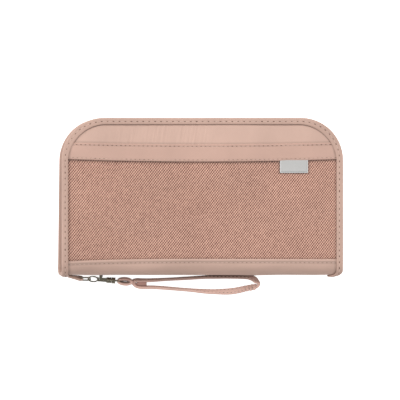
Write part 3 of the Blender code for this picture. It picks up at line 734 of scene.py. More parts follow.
@dataclass
class Body:
    """Base of the sub-assemblies: the shell that they follow and the size of their stitches."""

    shell: Shell = field(default_factory=Shell)
    stitch_pitch: float = 3.9 * MM
    stitch_length: float = 2.7 * MM
    thread: float = 0.2 * MM

    def report(self, piece: bpy.types.Object) -> None:
        """Log one finished piece."""
        LOG.info("%s: %d points", piece.name, len(piece.data.vertices))

    def sewn_row(
        self, name: str, path: list[tuple[Vector, Vector]], hole: Pair, ending: str = ""
    ) -> tuple[bpy.types.Object, bpy.types.Object]:
        """Sew a row of stitches with its needle holes.

        Args:
            name: the first words of both names.
            path: close points of the row, each with the cloth's outward direction.
            hole: length and width of a needle hole.
            ending: the end of both names.

        Returns:
            The stitches and the holes.
        """
        sewn = stitches(
            f"{name}_stitches{ending}", path, self.stitch_pitch, self.stitch_length, self.thread
        )
        return sewn, needle_holes(f"{name}_needle_holes{ending}", path, self.stitch_pitch, *hole)


def hem_line(share: float) -> float:
    """Y of the wrap's front hem at a place from -1 to 1 across the cover; it sags at the left."""
    return -54.5 * MM - 2.1 * MM * max(0.0, -share) ** 2.5 - 0.3 * MM * max(0.0, share) ** 2


@dataclass
class FrontFace(Body):
    """Smooth base panel, woven slip pocket with its band, and the bare label."""

    mouth: float = 0.0459
    mouth_bow: float = 1.7 * MM
    band_low: float = 0.0305
    band_bow: float = 2.2 * MM
    woven_low: float = -0.0546
    tuck: float = 4.4 * MM
    dip_in: float = 5.7 * MM
    dip_width: float = 0.6 * MM
    painted_shade_in: float = 5.8 * MM
    painted_shade_width: float = 0.65 * MM
    mouth_stitch_in: float = 1.9 * MM
    band_stitch_in: float = 1.6 * MM
    stitch_ends: float = 6.2 * MM
    hole_length: float = 1.7 * MM
    hidden: float = 2.5 * MM
    roll: float = 0.5 * MM
    base_under: float = 9 * MM
    woven_under: float = 3.0 * MM
    base_cloth: float = 0.5 * MM
    band_cloth: float = 0.6 * MM
    woven_cloth: float = 0.4 * MM
    label_cloth: float = 0.45 * MM
    label_edge: float = 0.9 * MM
    label_face: float = 0.12 * MM
    label_lift: float = 0.35 * MM
    label_tuck: float = 2.0 * MM

    def rows(
        self,
        low: Callable[[float], float],
        high: Callable[[float], float],
        height: Callable,
        count: int,
        columns: int = 120,
    ) -> list[list[Vector]]:
        """Rows of a panel's upper face between two lines across the cover.

        Args:
            low: the lower line's Y at a place from -1 to 1 across the cover.
            high: the upper line's Y.
            height: extra height at a share up the panel, with x and y.
            count: how many rows.
            columns: how many places across.

        Returns:
            Rows of points.
        """
        shell = self.shell
        result = []
        for i in range(count + 1):
            up = i / count
            row = []
            for j in range(columns + 1):
                share = 2 * j / columns - 1
                y = low(share) + (high(share) - low(share)) * up
                x = shell.half_width(y, self.tuck) * share
                z = shell.face + shell.crowned(x, y) + height(up, x, y)
                row.append(Vector((x + shell.lean / 2, y, z)))
            result.append(row)
        return result

    def mouth_line(self, share: float) -> float:
        """Y of the pocket's mouth, which dips a little in the middle."""
        return self.mouth + self.mouth_bow * share * share

    def band_line(self, share: float) -> float:
        """Y of the band's lower edge."""
        return self.band_low + self.band_bow * share * share

    def build(self) -> None:
        """Make the panels and dress them."""
        shell = self.shell
        inner_top = shell.top - self.tuck

        def wrinkled(up: float, x: float, y: float) -> float:
            """Faint upright wrinkles near the left of the top panel, and the dip along its edge.

            Args:
                up: share of the way up the panel, which the wrinkles don't follow.
                x: the place, measured from the cover's middle.
                y: the place along Y.

            Returns:
                Height over the crowned face.
            """
            wave = noise.noise(Vector(((x - 0.16 * y) / (2.1 * MM), y / (30 * MM), 2.0)))
            fade = near(x + 58 * MM, 30 * MM) + 1.3 * near(x + 8 * MM, 16 * MM) + 0.15
            slow = noise.noise(Vector((x / (45 * MM), y / (25 * MM), 5.0)))
            return 0.30 * MM * wave * fade + 0.40 * MM * slow - 0.5 * MM * self.edge_dip(x, y)

        base = closed_sheet(
            "top_panel",
            self.rows(lambda s: self.mouth - self.base_under, lambda s: inner_top, wrinkled, 36, 480),
            self.base_cloth,
            SMOOTH,
        )
        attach(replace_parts(base, "front_base_panel"), "front_cover")
        band = closed_sheet(
            "pocket_mouth_band",
            self.rows(self.band_line, self.mouth_line, self.band_height, 60),
            self.band_cloth,
            BAND,
        )
        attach(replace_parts(band, "pocket_band"), "front_cover")
        woven = closed_sheet(
            "woven_pocket",
            self.rows(
                lambda s: self.woven_low - self.woven_under,
                lambda s: self.band_line(s) + self.hidden,
                self.woven_height,
                130,
            ),
            self.woven_cloth,
            WOVEN,
        )
        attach(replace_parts(woven, "woven_panel"), "front_cover")
        # Painted shade: along the binding's inner edge, just over the pocket's mouth, in the band's upper
        # stitch groove, in the shadow under the band's lower edge, along the hem and round the label
        paint_shade(
            base,
            lambda p: self.edge_shade(p) + 0.35 * near(p.y - self.mouth_at(p.x) - 0.4 * MM, 0.9 * MM),
        )
        paint_shade(
            band,
            lambda p: 0.8 * self.edge_shade(p)
            + 0.45 * near(p.y - self.mouth_at(p.x) + 2.0 * MM, 0.55 * MM),
        )
        paint_shade(
            woven,
            lambda p: self.edge_shade(p)
            + 1.0 * near(self.band_line(self.share_at(p.x)) - p.y, 1.7 * MM)
            + 0.45 * near(p.y - hem_line(self.share_at(p.x)), 1.0 * MM)
            + self.label_shade(p),
        )
        for piece in (base, band, woven):
            self.report(piece)
        self.seams()
        self.label()

    def label_box(self) -> tuple[float, float, float]:
        """Left, right and bottom of the label that shows."""
        low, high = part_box("woven_label")
        return low[0], high[0], low[1] + 1.0 * MM

    def label_shade(self, place: Vector) -> float:
        """Shade on the woven cloth round the label.

        Args:
            place: the place on the cloth.

        Returns:
            The shade, from 0 to 1.
        """
        left, right, bottom = self.label_box()
        beyond_x = max(left - place.x, place.x - right, 0.0)
        beyond_y = max(bottom - place.y, 0.0)
        return 0.75 * near(math.hypot(beyond_x, beyond_y), 1.1 * MM)

    def share_at(self, x: float) -> float:
        """Place from -1 to 1 across the cover for an X in the model's frame."""
        return max(-1.0, min(1.0, (x - self.shell.lean / 2) / (self.shell.width / 2 - self.tuck)))

    def mouth_at(self, x: float) -> float:
        """Y of the pocket's mouth at an X in the model's frame."""
        return self.mouth_line(self.share_at(x))

    def edge_shade(self, place: Vector) -> float:
        """Shade in the seam along the binding's inner edge.

        Args:
            place: the place on the cloth.

        Returns:
            The shade, from 0 to 1.
        """
        x = place.x - self.shell.lean / 2
        distance = self.shell.edge_distance(x, place.y) - self.shell.tape_extra(x, place.y)
        return 0.85 * near(distance - self.painted_shade_in, self.painted_shade_width)

    def edge_dip(self, x: float, y: float) -> float:
        """How near a place is to the dip along the edge tape, from 0 to 1."""
        return near(self.shell.edge_distance(x, y) - self.dip_in, self.dip_width)

    def band_height(self, up: float, x: float, y: float) -> float:
        """Height of the band: rolled edges, and a groove along each row of stitches.

        Args:
            up: share of the way up the band.
            x: the place, measured from the cover's middle.
            y: the place along Y.

        Returns:
            Height over the crowned face.
        """
        span = self.mouth - self.band_low
        from_low, from_high = up * span, (1 - up) * span
        low_roll = 1 - math.exp(-from_low / self.roll)
        high_roll = 1 - math.exp(-from_high / self.roll)
        low_groove = near(from_low - self.band_stitch_in, 0.5 * MM)
        high_groove = near(from_high - self.mouth_stitch_in, 0.6 * MM)
        soft = 0.30 * MM * noise.noise(Vector((x / (22 * MM), y / (11 * MM), 9.0)))
        height = 1.0 * MM * min(low_roll, high_roll) - 0.35 * MM * high_groove - 0.15 * MM * low_groove
        return height + soft - 0.7 * MM * self.edge_dip(x, y)

    def woven_height(self, up: float, x: float, y: float) -> float:
        """Height of the woven panel: it dips where it goes under the bands.

        Args:
            up: share of the way up the panel, which the dips don't follow.
            x: the place, measured from the cover's middle.
            y: the place along Y.

        Returns:
            Height over the crowned face.
        """
        share = x / (self.shell.width / 2 - self.tuck)
        top_dip = math.exp(-max(self.band_line(share) - y, 0) / (1.6 * MM))
        low_dip = math.exp(-max(y - hem_line(share), 0) / (1.6 * MM))
        soft = 0.25 * MM * noise.noise(Vector((x / (60 * MM), y / (40 * MM), 1.0)))
        return -0.55 * MM * max(top_dip, low_dip) - 0.4 * MM * self.edge_dip(x, y) + soft

    def surface(self, x: float, y: float, extra: float) -> Vector:
        """A point a little over the face at a place from the cover's middle."""
        shell = self.shell
        return Vector((x + shell.lean / 2, y, shell.face + shell.crowned(x, y) + extra))

    def seams(self) -> None:
        """Rows of stitches along both edges of the band."""
        out = Vector((0, 0, 1))
        for name, line, offset, extra, width in (
            ("mouth", self.mouth_line, -self.mouth_stitch_in, 0.66 * MM, 0.65 * MM),
            ("band", self.band_line, self.band_stitch_in, 0.86 * MM, 0.35 * MM),
        ):
            path = []
            for i in range(161):
                share = 2 * i / 160 - 1
                y = line(share) + offset
                x = self.shell.half_width(y, self.stitch_ends) * share
                path.append((self.surface(x, y, extra), out))
            for row in self.sewn_row(name, path, (self.hole_length, width)):
                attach(row, "front_cover")
                self.report(row)

    def label(self) -> None:
        """Bare woven label: a folded tape sewn in under the band, with a paler edge."""
        left, right, bottom = self.label_box()
        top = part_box("woven_label")[1][1] + self.label_tuck
        mid = self.shell.lean / 2
        for name, finish, inset, lift in (
            ("label_tape", LABEL_EDGE, 0.0, 0.0),
            ("label_face", LABEL, self.label_edge, self.label_face),
        ):
            rows = []
            for i in range(13):
                row = []
                for j in range(29):
                    x = left + inset + (right - left - 2 * inset) * j / 28
                    y = bottom + inset + (top - bottom - inset) * i / 12
                    curl = 0.25 * MM * math.sin(math.pi * j / 28) + 0.35 * MM * (1 - i / 12) ** 2
                    row.append(self.surface(x - mid, y, self.label_lift + lift + curl))
                rows.append(row)
            piece = closed_sheet(name, rows, 0.1 * MM if lift else self.label_cloth, finish)
            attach(piece, "front_cover")
            if not lift:
                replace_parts(piece, "woven_label")
            self.report(piece)


@dataclass
class Wrap(Body):
    """The smooth cloth that runs from the front cover round the spine to the rear cover."""

    cloth: float = 0.5 * MM
    inset: float = 4.6 * MM
    columns: int = 120
    hole: Pair = (1.1 * MM, 0.25 * MM)
    sink: float = 1.0 * MM
    roll: float = 0.45 * MM
    roll_rise: float = 0.55 * MM
    roll_fade: float = 16 * MM
    groove_in: float = 3.3 * MM
    groove_width: float = 0.7 * MM
    groove_depth: float = 0.35 * MM
    stitch_ends: float = 6.4 * MM
    stitch_lift: float = 0.18 * MM
    foot_share: float = 0.35
    painted_shade_in: float = 5.8 * MM
    painted_shade_width: float = 0.75 * MM
    bend_start: Pair = (1.6 * MM, 1.8 * MM)
    bend_end: Pair = (0.6 * MM, 2.4 * MM)

    def profile(self, side: Side, edge: float) -> list[tuple[float, float, float]]:
        """Line down the cloth from its hem to the middle of the spine.

        Args:
            side: the cover that it starts on.
            edge: Y of the hem.

        Returns:
            Y, Z and the distance from the hem at each place.
        """
        shell = self.shell
        points: list[tuple[float, float, float]] = []
        for i in range(14):
            y = edge + (shell.bend - edge) * i / 14
            points.append((y, shell.face, edge - y))
        run = edge - shell.bend
        for i in range(29):
            angle = math.pi / 2 * (1 - i / 28)
            y, z = shell.across(angle, self.sink)
            points.append((y, z, run + (math.pi / 2 - angle) * shell.reach))
        if side is Side.REAR:
            points = [(y, shell.thickness - z, d) for y, z, d in points]
        return points

    def build(self) -> None:
        """Make the two halves, which meet along the middle of the spine."""
        for side, joined in ((Side.FRONT, "front_bottom_band"), (Side.REAR, "rear_bottom_band")):
            count = len(self.profile(side, hem_line(0)))
            rows: list[list[Vector]] = [[] for _ in range(count)]
            into: list[list[Vector]] = [[] for _ in range(count)]
            for j in range(self.columns + 1):
                share = 2 * j / self.columns - 1
                points = self.profile(side, hem_line(share) if side is Side.FRONT else hem_line(0))
                for i, (y, z, run) in enumerate(points):
                    before, after = points[max(i - 1, 0)], points[min(i + 1, count - 1)]
                    along = Vector((0, after[0] - before[0], after[1] - before[1])).normalized()
                    turn = -1 if side is Side.REAR else 1
                    out = Vector((0, turn * along.z, -turn * along.y))
                    drawn = self.foot_share * self.shell.foot_in(y, share)
                    half = self.shell.width / 2 - self.inset - drawn
                    x = half * share
                    height = self.height(run, x, y, side)
                    rows[i].append(Vector((x + self.shell.shift(z, y), y, z)) + out * height)
                    into[i].append(-out)
            piece = closed_sheet(
                f"{side.value}_wrap", rows, self.cloth, SMOOTH, down=lambda i, j, into=into: into[i][j]
            )
            paint_shade(piece, lambda p, side=side: self.shade(p, side))
            nodes = (joined, "spine_panel") if side is Side.FRONT else (joined,)
            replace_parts(piece, *nodes)
            self.bend(piece, side)
            self.report(piece)
        self.topstitch()

    def shade(self, place: Vector, side: Side) -> float:
        """Shade along the topstitch, beside the bindings and where the spine turns under.

        Args:
            place: the place on the cloth.
            side: the cover that this half of the wrap starts on.

        Returns:
            The shade, from 0 to 1.
        """
        shell = self.shell
        middle = shell.shift(place.z, place.y)
        drawn = self.foot_share * shell.foot_in(place.y, place.x)
        beside = shell.width / 2 - abs(place.x - middle) - drawn
        shade = 0.05 + 0.90 * near(beside - self.painted_shade_in, self.painted_shade_width)
        if side is Side.FRONT:
            share = (place.x - middle) / (shell.width / 2 - self.inset)
            shade += 0.42 * near(hem_line(share) - place.y - 3.1 * MM, 1.2 * MM)
            shade += 0.06 * clamped((shell.bend + 2 * MM - place.y) / (11 * MM))
        return shade

    def height(self, run: float, x: float, y: float, side: Side) -> float:
        """Height over the plain shell: a rolled hem, a groove along the topstitch and soft waves.

        Args:
            run: distance down the cloth from its hem.
            x: the place, measured from the cover's middle.
            y: the place along Y.
            side: the cover that this half of the wrap starts on.

        Returns:
            The height.
        """
        shell = self.shell
        crown = shell.crowned(x, min(y, shell.bend)) if side is Side.FRONT else 0.0
        fade = max(0.0, 1 - run / self.roll_fade)
        roll = 1 - math.exp(-run / self.roll)
        groove = self.groove_depth * near(run - self.groove_in, self.groove_width)
        wave = 0.45 * MM * noise.noise(Vector((x / (34 * MM), run / (8 * MM), 3.0)))
        lift = self.roll_rise if side is Side.FRONT else 0.0
        return crown * fade + lift * roll * fade - groove + wave * min(1.0, run / (4 * MM))

    def bend(self, piece: bpy.types.Object, side: Side) -> None:
        """Bake a piece's transform into its mesh points.

        Args:
            piece: the piece.
            side: the cover that it starts on.
        """
        shell = self.shell
        y, z = shell.across(shell.fold_angle, 0)
        if side is Side.FRONT:
            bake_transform(piece)
            return
        z = shell.thickness - z
        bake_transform(piece)

    def topstitch(self) -> None:
        """Row of stitches in the groove near the front hem."""
        shell = self.shell
        path = []
        for i in range(161):
            share = 2 * i / 160 - 1
            x = (shell.width / 2 - self.stitch_ends) * share
            y = hem_line(x / (shell.width / 2 - self.inset)) - self.groove_in
            hanging = shell.across(math.pi / 2 - max(0.0, shell.bend - y) / shell.reach, self.sink)[1]
            z = hanging + shell.crowned(x, shell.bend) * 0.8 + self.stitch_lift
            path.append((Vector((x + shell.lean / 2, y, z)), Vector((0, 0, 1))))
        for row in self.sewn_row("hem", path, self.hole):
            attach(row, "front_cover")
            self.report(row)


@dataclass
class Binding(Body):
    """Folded tape that grips the shell's edge, sewn through with one row of stitches."""

    width: float = 5.9 * MM
    cloth: float = 0.7 * MM
    cover_depth: float = 5.6 * MM
    spine_depth: float = 3.6 * MM
    stitch_inset: float = 3.3 * MM
    stitch_pitch: float = 5.2 * MM
    stitch_length: float = 3.7 * MM
    stitch_sink: float = 0.14 * MM
    thread: float = 0.28 * MM
    hole: Pair = (1.9 * MM, 0.85 * MM)
    groove_width: float = 0.55 * MM
    groove_depth: float = 0.22 * MM
    front_pillow: float = 0.35 * MM
    rear_pillow: float = -0.1 * MM

    def edge_path(self, side: Side) -> list[tuple[Vector, Vector, Vector, float]]:
        """Edge of one cover from the middle of the spine up one side, over the top and down.

        Args:
            side: the cover.

        Returns:
            Place, direction in from the edge, outward direction and the edge's depth.
        """
        shell = self.shell
        left: list[tuple[Vector, Vector, Vector, float]] = []
        for i in range(22):
            angle = math.pi / 2 * i / 22
            y, z = shell.across(angle, 0)
            y2, z2 = shell.across(angle + 0.02, 0)
            along = Vector((0, y2 - y, z2 - z)).normalized()
            out = Vector((0, -along.z, along.y))
            share = clamped((angle - shell.fold_angle * 0.7) / (shell.fold_angle * 0.6))
            depth = self.spine_depth + (self.cover_depth - self.spine_depth) * share
            proud = 0.6 * MM * (1 - angle / (math.pi / 2))
            left.append((Vector((-shell.width / 2, y, z)) + out * proud, Vector((1, 0, 0)), out, depth))
        start = shell.top - shell.corner
        for i in range(24):
            y = shell.bend + (start - shell.bend) * i / 24
            place = Vector((-shell.width / 2, y, shell.thickness))
            left.append((place, Vector((1, 0, 0)), Vector((0, 0, 1)), self.cover_depth))
        for i in range(33):
            angle = math.pi - math.pi / 2 * i / 32
            centre = Vector((-shell.width / 2 + shell.corner, start, shell.thickness))
            out = Vector((math.cos(angle), math.sin(angle), 0))
            left.append((centre + out * shell.corner, -out, Vector((0, 0, 1)), self.cover_depth))
        right = [
            (Vector((-p.x, p.y, p.z)), Vector((-inward.x, inward.y, inward.z)), out, depth)
            for p, inward, out, depth in reversed(left)
        ]
        path = []
        for p, inward, out, depth in left + right:
            height = p.z if side is Side.FRONT else shell.thickness - p.z
            drawn = math.copysign(shell.foot_in(p.y, p.x), -p.x)
            placed = Vector((p.x + drawn + shell.shift(height, p.y), p.y, height))
            flipped = out if side is Side.FRONT else Vector((0, out.y, -out.z))
            path.append((placed, inward, flipped, depth))
        return path

    def section(self, depth: float, proud: float, extra: float) -> list[Pair]:
        """Section of the channel: pillowed outer lip, round edge and flat inner lip.

        Args:
            depth: how deep the channel is.
            proud: how far the outer lip's pillow stands up.
            extra: how much wider than usual the lips are.

        Returns:
            Points as distance in from the edge and height over the outer face.
        """
        width, cloth = self.width + extra, self.cloth
        outer = [(0.0, -1.5 * MM), (0.12 * MM, -0.75 * MM), (0.5 * MM, -0.25 * MM)]
        for i in range(9):
            share = i / 8
            across = 1.0 * MM + (width - 1.5 * MM) * share
            groove = near(across - self.stitch_inset, self.groove_width)
            pillow = proud * math.sin(math.pi * (0.15 + 0.7 * share))
            outer.append((across, pillow - self.groove_depth * groove))
        outer += [(width - 0.12 * MM, -0.15 * MM), (width, -0.5 * MM), (width - 0.1 * MM, -cloth)]
        inner = [
            (cloth, -cloth),
            (cloth, -depth + cloth),
            (width - 0.2 * MM, -depth + cloth),
            (width, -depth + cloth / 2),
            (width - 0.3 * MM, -depth),
            (0.6 * MM, -depth),
            (0.1 * MM, -depth + 0.8 * MM),
        ]
        return outer + inner

    def build(self) -> None:
        """Make both bindings and their stitches."""
        for side in Side:
            path = self.edge_path(side)
            proud = self.front_pillow if side is Side.FRONT else self.rear_pillow
            frames = [(place, inward, out) for place, inward, out, _ in path]
            extras = [self.shell.tape_extra(p.x - self.shell.shift(p.z, p.y), p.y) for p, _, _, _ in path]
            piece = sweep(
                f"{side.value}_edge_tape",
                frames,
                lambda i, path=path, proud=proud, extras=extras: self.section(path[i][3], proud, extras[i]),
                BINDING,
            )
            if side is Side.FRONT:
                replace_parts(piece, "front_binding", "spine_binding_left", "spine_binding_right")
            else:
                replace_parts(piece, "rear_binding")
            Wrap(self.shell).bend(piece, side)
            self.report(piece)
            lift = proud - self.stitch_sink
            seam = [(p + inward * self.stitch_inset + out * lift, out) for p, inward, out, _ in path]
            for row in self.sewn_row(f"{side.value}_edge", seam, self.hole):
                Wrap(self.shell).bend(row, side)
                self.report(row)


@dataclass
class RearFace(Body):
    """Woven panel of the rear cover, flat where the wallet lies on it."""

    cloth: float = 0.5 * MM
    tuck: float = 5.0 * MM
    under_wrap: float = 2.0 * MM
    under_tape: float = 1.0 * MM
    edge_rise: float = 0.7 * MM
    edge_reach: float = 1.2 * MM
    clear: float = 0.02 * MM

    def build(self) -> None:
        """Make the panel."""
        low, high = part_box("rear_panel")
        shell = self.shell
        bottom, top = low[1] - self.under_wrap, high[1] + self.under_tape
        rows = []
        for i in range(61):
            y = bottom + (top - bottom) * i / 60
            row = []
            for j in range(81):
                share = 2 * j / 80 - 1
                x = shell.half_width(y, self.tuck) * share
                inward = min(shell.edge_distance(x, y) - self.tuck, y - bottom)
                z = self.clear + self.edge_rise * math.exp(-max(inward, 0) / self.edge_reach)
                row.append(Vector((x + shell.shift(z, y), y, z)))
            rows.append(row)
        into = Vector((0, 0, 1))
        piece = closed_sheet("rear_woven_panel", rows, self.cloth, WOVEN, down=lambda i, j: into)
        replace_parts(piece, "rear_panel")
        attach(piece, "rear_cover")
        self.report(piece)


@dataclass
class ZipWall(Body):
    """Tapes and coil teeth round the three open sides."""

    inset: float = 2.65 * MM
    tape: float = 0.8 * MM
    bow: float = 0.35 * MM
    low: float = -0.0565
    coil_inset: float = 1.9 * MM
    coil_pitch: float = 1.5 * MM
    coil_reach: float = 0.55 * MM
    coil_swing: float = 0.4 * MM
    coil_sink: float = 0.25 * MM
    wire: float = 0.27 * MM
    tail: float = 8.3 * MM
    tail_depth: float = 5.0 * MM
    tail_in: float = 1.2 * MM

    def hem(self, y: float) -> float:
        """Height of the tape's hem, which rises where the tape's end runs into the round spine.

        Args:
            y: the place along Y.

        Returns:
            The height on the rear half.
        """
        shell = self.shell
        half = shell.thickness / 2
        share = clamped((shell.bend - y) / (shell.reach - self.tail_depth))
        up = math.sqrt(1 - share**shell.squareness) ** (2 / shell.squareness)
        return half - (half - self.tail_depth) * up

    def wall_path(self, inset: float, tail: float = 0.0) -> list[tuple[Vector, Vector]]:
        """Plan line of the wall, with its outward direction.

        Args:
            inset: how far it lies in from the edge.
            tail: how far its ends run on into the spine.

        Returns:
            Places and directions, from the left end to the right one.
        """
        shell = self.shell
        half, start = shell.width / 2 - inset, shell.top - shell.corner
        radius = shell.corner - inset
        path = []
        for i in range(10 if tail else 0):
            share = 1 - i / 10
            place = Vector((-half + self.tail_in * share**2, self.low - tail * share, 0))
            path.append((place, Vector((-1, 0, 0))))
        for i in range(28):
            y = self.low + (start - self.low) * i / 28
            path.append((Vector((-half, y, 0)), Vector((-1, 0, 0))))
        for i in range(25):
            angle = math.pi - math.pi / 2 * i / 24
            out = Vector((math.cos(angle), math.sin(angle), 0))
            path.append((Vector((-half + radius, start, 0)) + out * radius, out))
        return path + [
            (Vector((-p.x, p.y, 0)), Vector((-out.x, out.y, 0))) for p, out in reversed(path)
        ]

    def build(self) -> None:
        """Make each half of the zip."""
        for side, body in ((Side.REAR, "rear_cover"), (Side.FRONT, "front_cover")):
            low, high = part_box(f"zip_tape_{side.value}")
            path = self.wall_path(self.inset, self.tail)
            rows = []
            for i in range(9):
                share = i / 8
                bow = self.bow * math.sin(math.pi * share)
                row = []
                for p, out in path:
                    bottom, top = low[2], high[2]
                    if p.y < self.shell.bend and side is Side.REAR:
                        bottom = max(bottom, self.hem(p.y))
                    elif p.y < self.shell.bend:
                        top = min(top, self.shell.thickness - self.hem(p.y))
                    row.append(p + out * bow + Vector((0, 0, bottom + (top - bottom) * share)))
                rows.append(row)
            tape = closed_sheet(
                f"{side.value}_zip_tape",
                rows,
                self.tape,
                TAPE,
                down=lambda i, j, path=path: -path[j][1],
            )
            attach(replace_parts(tape, f"zip_tape_{side.value}"), body)
            self.report(tape)
            self.coil(side, body)

    def coil(self, side: Side, body: str) -> None:
        """One coil of nylon wire, whose turns reach in between those of the other half.

        Args:
            side: the half of the zip.
            body: the body that it rides on.
        """
        low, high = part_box(f"zip_teeth_{side.value}")
        path = self.wall_path(self.coil_inset)
        reach = self.coil_reach
        bottom, top = (low[2], high[2] + reach) if side is Side.REAR else (low[2] - reach, high[2])
        middle, half = (bottom + top) / 2, (top - bottom) / 2 - self.coil_sink
        runs = distances(path)
        turns = int(runs[-1] / self.coil_pitch)
        offset = 0.0 if side is Side.REAR else math.pi
        points, per_turn = [], 8
        for n in range(turns * per_turn + 1):
            distance = min(n / per_turn * self.coil_pitch, runs[-1])
            place, out, _ = read_path(path, runs, distance)
            angle = 2 * math.pi * n / per_turn + offset
            height = Vector((0, 0, middle + half * math.cos(angle)))
            points.append(place + out.normalized() * self.coil_swing * math.sin(angle) + height)
        curve = bpy.data.curves.new(f"{side.value}_coil_teeth", "CURVE")
        curve.dimensions = "3D"
        curve.bevel_depth = self.wire
        curve.bevel_resolution = 1
        curve.use_fill_caps = True
        spline = curve.splines.new("POLY")
        spline.points.add(len(points) - 1)
        for point, place in zip(spline.points, points):
            point.co = (*place, 1)
        curve.materials.append(COIL.build())
        teeth = bpy.data.objects.new(curve.name, curve)
        bpy.context.scene.collection.objects.link(teeth)
        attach(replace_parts(teeth, f"zip_teeth_{side.value}"), body)
        LOG.info("%s: %d turns", teeth.name, turns)


@dataclass
class Linings(Body):
    """Lining cloth and the pockets inside."""

    cloth: float = 0.3 * MM
    depth: float = 4.6 * MM
    side_in: float = 1.2 * MM
    lift: float = 0.05 * MM
    hem_in: float = 2.5 * MM
    hem_ends: float = 2 * MM
    stitch_pitch: float = 3.0 * MM
    stitch_length: float = 2.3 * MM
    thread: float = 0.18 * MM
    lining_wave: float = 0.05 * MM
    pocket_wave: float = 0.08 * MM
    spine_depth: float = 2.2 * MM
    spine_extra: float = 2.3 * MM
    spine_in: float = 4.8 * MM

    def cloth_over(self, node: str, body: str, up: float, ripple: float) -> None:
        """A lining or pocket sheet in the place of its plain solid.

        Args:
            node: the solid that it stands for.
            body: the body that it rides on.
            up: 1 where its free face looks up in the closed wallet, -1 where it looks down.
            ripple: height of its soft waves.
        """
        low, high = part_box(node)
        face = high[2] if up > 0 else low[2]
        rounded = node.endswith("_lining")
        shell = self.shell
        middle = (low[0] + high[0]) / 2
        bottom = shell.bend if rounded else low[1]
        if rounded:
            face = self.depth if up > 0 else shell.thickness - self.depth
        rows = []
        for i in range(41):
            y = bottom + (high[1] - bottom) * i / 40
            half = shell.half_width(y, self.side_in) if rounded else (high[0] - low[0]) / 2
            row = []
            for j in range(61):
                share = 2 * j / 60 - 1
                wave = noise.noise(Vector((half * share / (26 * MM), y / (19 * MM), low[2] / MM)))
                hem = 0.0 if rounded else near(high[1] - y - self.hem_in, 0.6 * MM)
                z = face - up * (self.lift + ripple * (0.5 + 0.5 * wave) + 0.1 * MM * hem)
                row.append(Vector((middle + half * share, y, z)))
            rows.append(row)
        into = Vector((0, 0, -up))
        piece = closed_sheet(node + "_cloth", rows, self.cloth, LINING, down=lambda i, j: into)
        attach(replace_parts(piece, node), body)
        self.report(piece)
        if rounded:
            return
        start, span = low[0] + self.hem_ends, high[0] - low[0] - 2 * self.hem_ends
        path = [
            (Vector((start + span * i / 40, high[1] - self.hem_in, face)), Vector((0, 0, up)))
            for i in range(41)
        ]
        row = stitches(node + "_stitches", path, self.stitch_pitch, self.stitch_length, self.thread)
        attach(row, body)

    def build(self) -> None:
        """Make every sheet inside."""
        self.cloth_over("rear_lining", "rear_cover", 1, self.lining_wave)
        self.cloth_over("front_lining", "front_cover", -1, self.lining_wave)
        for node in ("card_pocket_1", "card_pocket_2", "card_pocket_3", "passport_pocket"):
            self.cloth_over(node, "rear_cover", 1, self.pocket_wave)
        self.cloth_over("ticket_pocket", "front_cover", -1, self.pocket_wave)
        self.spine_lining()

    def spine_lining(self) -> None:
        """Lining of the spine, in two halves."""
        shell = self.shell
        for side in Side:
            rows, into = [], []
            for i in range(21):
                angle = math.pi / 2 * (1 - i / 20)
                past = max(0.0, (angle - shell.fold_angle) / (math.pi / 2 - shell.fold_angle))
                y, z = shell.across(angle, self.spine_depth + self.spine_extra * past)
                out = Vector((0, math.cos(angle), -math.sin(angle)))
                if side is Side.REAR:
                    z, out = shell.thickness - z, Vector((0, out.y, -out.z))
                half = shell.width / 2 - self.spine_in - max(shell.foot)
                rows.append([Vector((half * (2 * j / 60 - 1), y, z)) for j in range(61)])
                into.append(out)
            piece = closed_sheet(
                f"{side.value}_spine_lining",
                rows,
                self.cloth,
                LINING,
                down=lambda i, j, into=into: -into[i],
            )
            if side is Side.FRONT:
                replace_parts(piece, "spine_lining")
            Wrap(shell).bend(piece, side)
            self.report(piece)


def leaned(across: Vector, up: Vector, angle: float) -> tuple[Vector, Vector]:
    """Turn a section's two directions so that its top edge leans over towards the first.

    Args:
        across: the section's first direction.
        up: its second direction.
        angle: the lean.

    Returns:
        The two turned directions.
    """
    return across * math.cos(angle) - up * math.sin(angle), up * math.cos(angle) + across * math.sin(angle)


def between(table: Sequence[Pair], value: float) -> float:
    """Read a table of pairs smoothly at a value.

    Args:
        table: pairs of a place and its amount, in order of place.
        value: the place.

    Returns:
        The amount there.
    """
    for (a, low), (b, high) in zip(table, table[1:]):
        if value <= b:
            share = clamped((value - a) / (b - a))
            return low + (high - low) * share * share * (3 - 2 * share)
    return table[-1][1]


def tilted(place: Vector, middle: Pair, angle: float) -> Vector:
    """Turn a place about a line along X, so that what is above it moves towards +Y.

    Args:
        place: the place.
        middle: the line's Y and Z.
        angle: the turn.

    Returns:
        The turned place.
    """
    y, z = place.y - middle[0], place.z - middle[1]
    return Vector(
        (
            place.x,
            middle[0] + y * math.cos(angle) + z * math.sin(angle),
            middle[1] + z * math.cos(angle) - y * math.sin(angle),
        )
    )


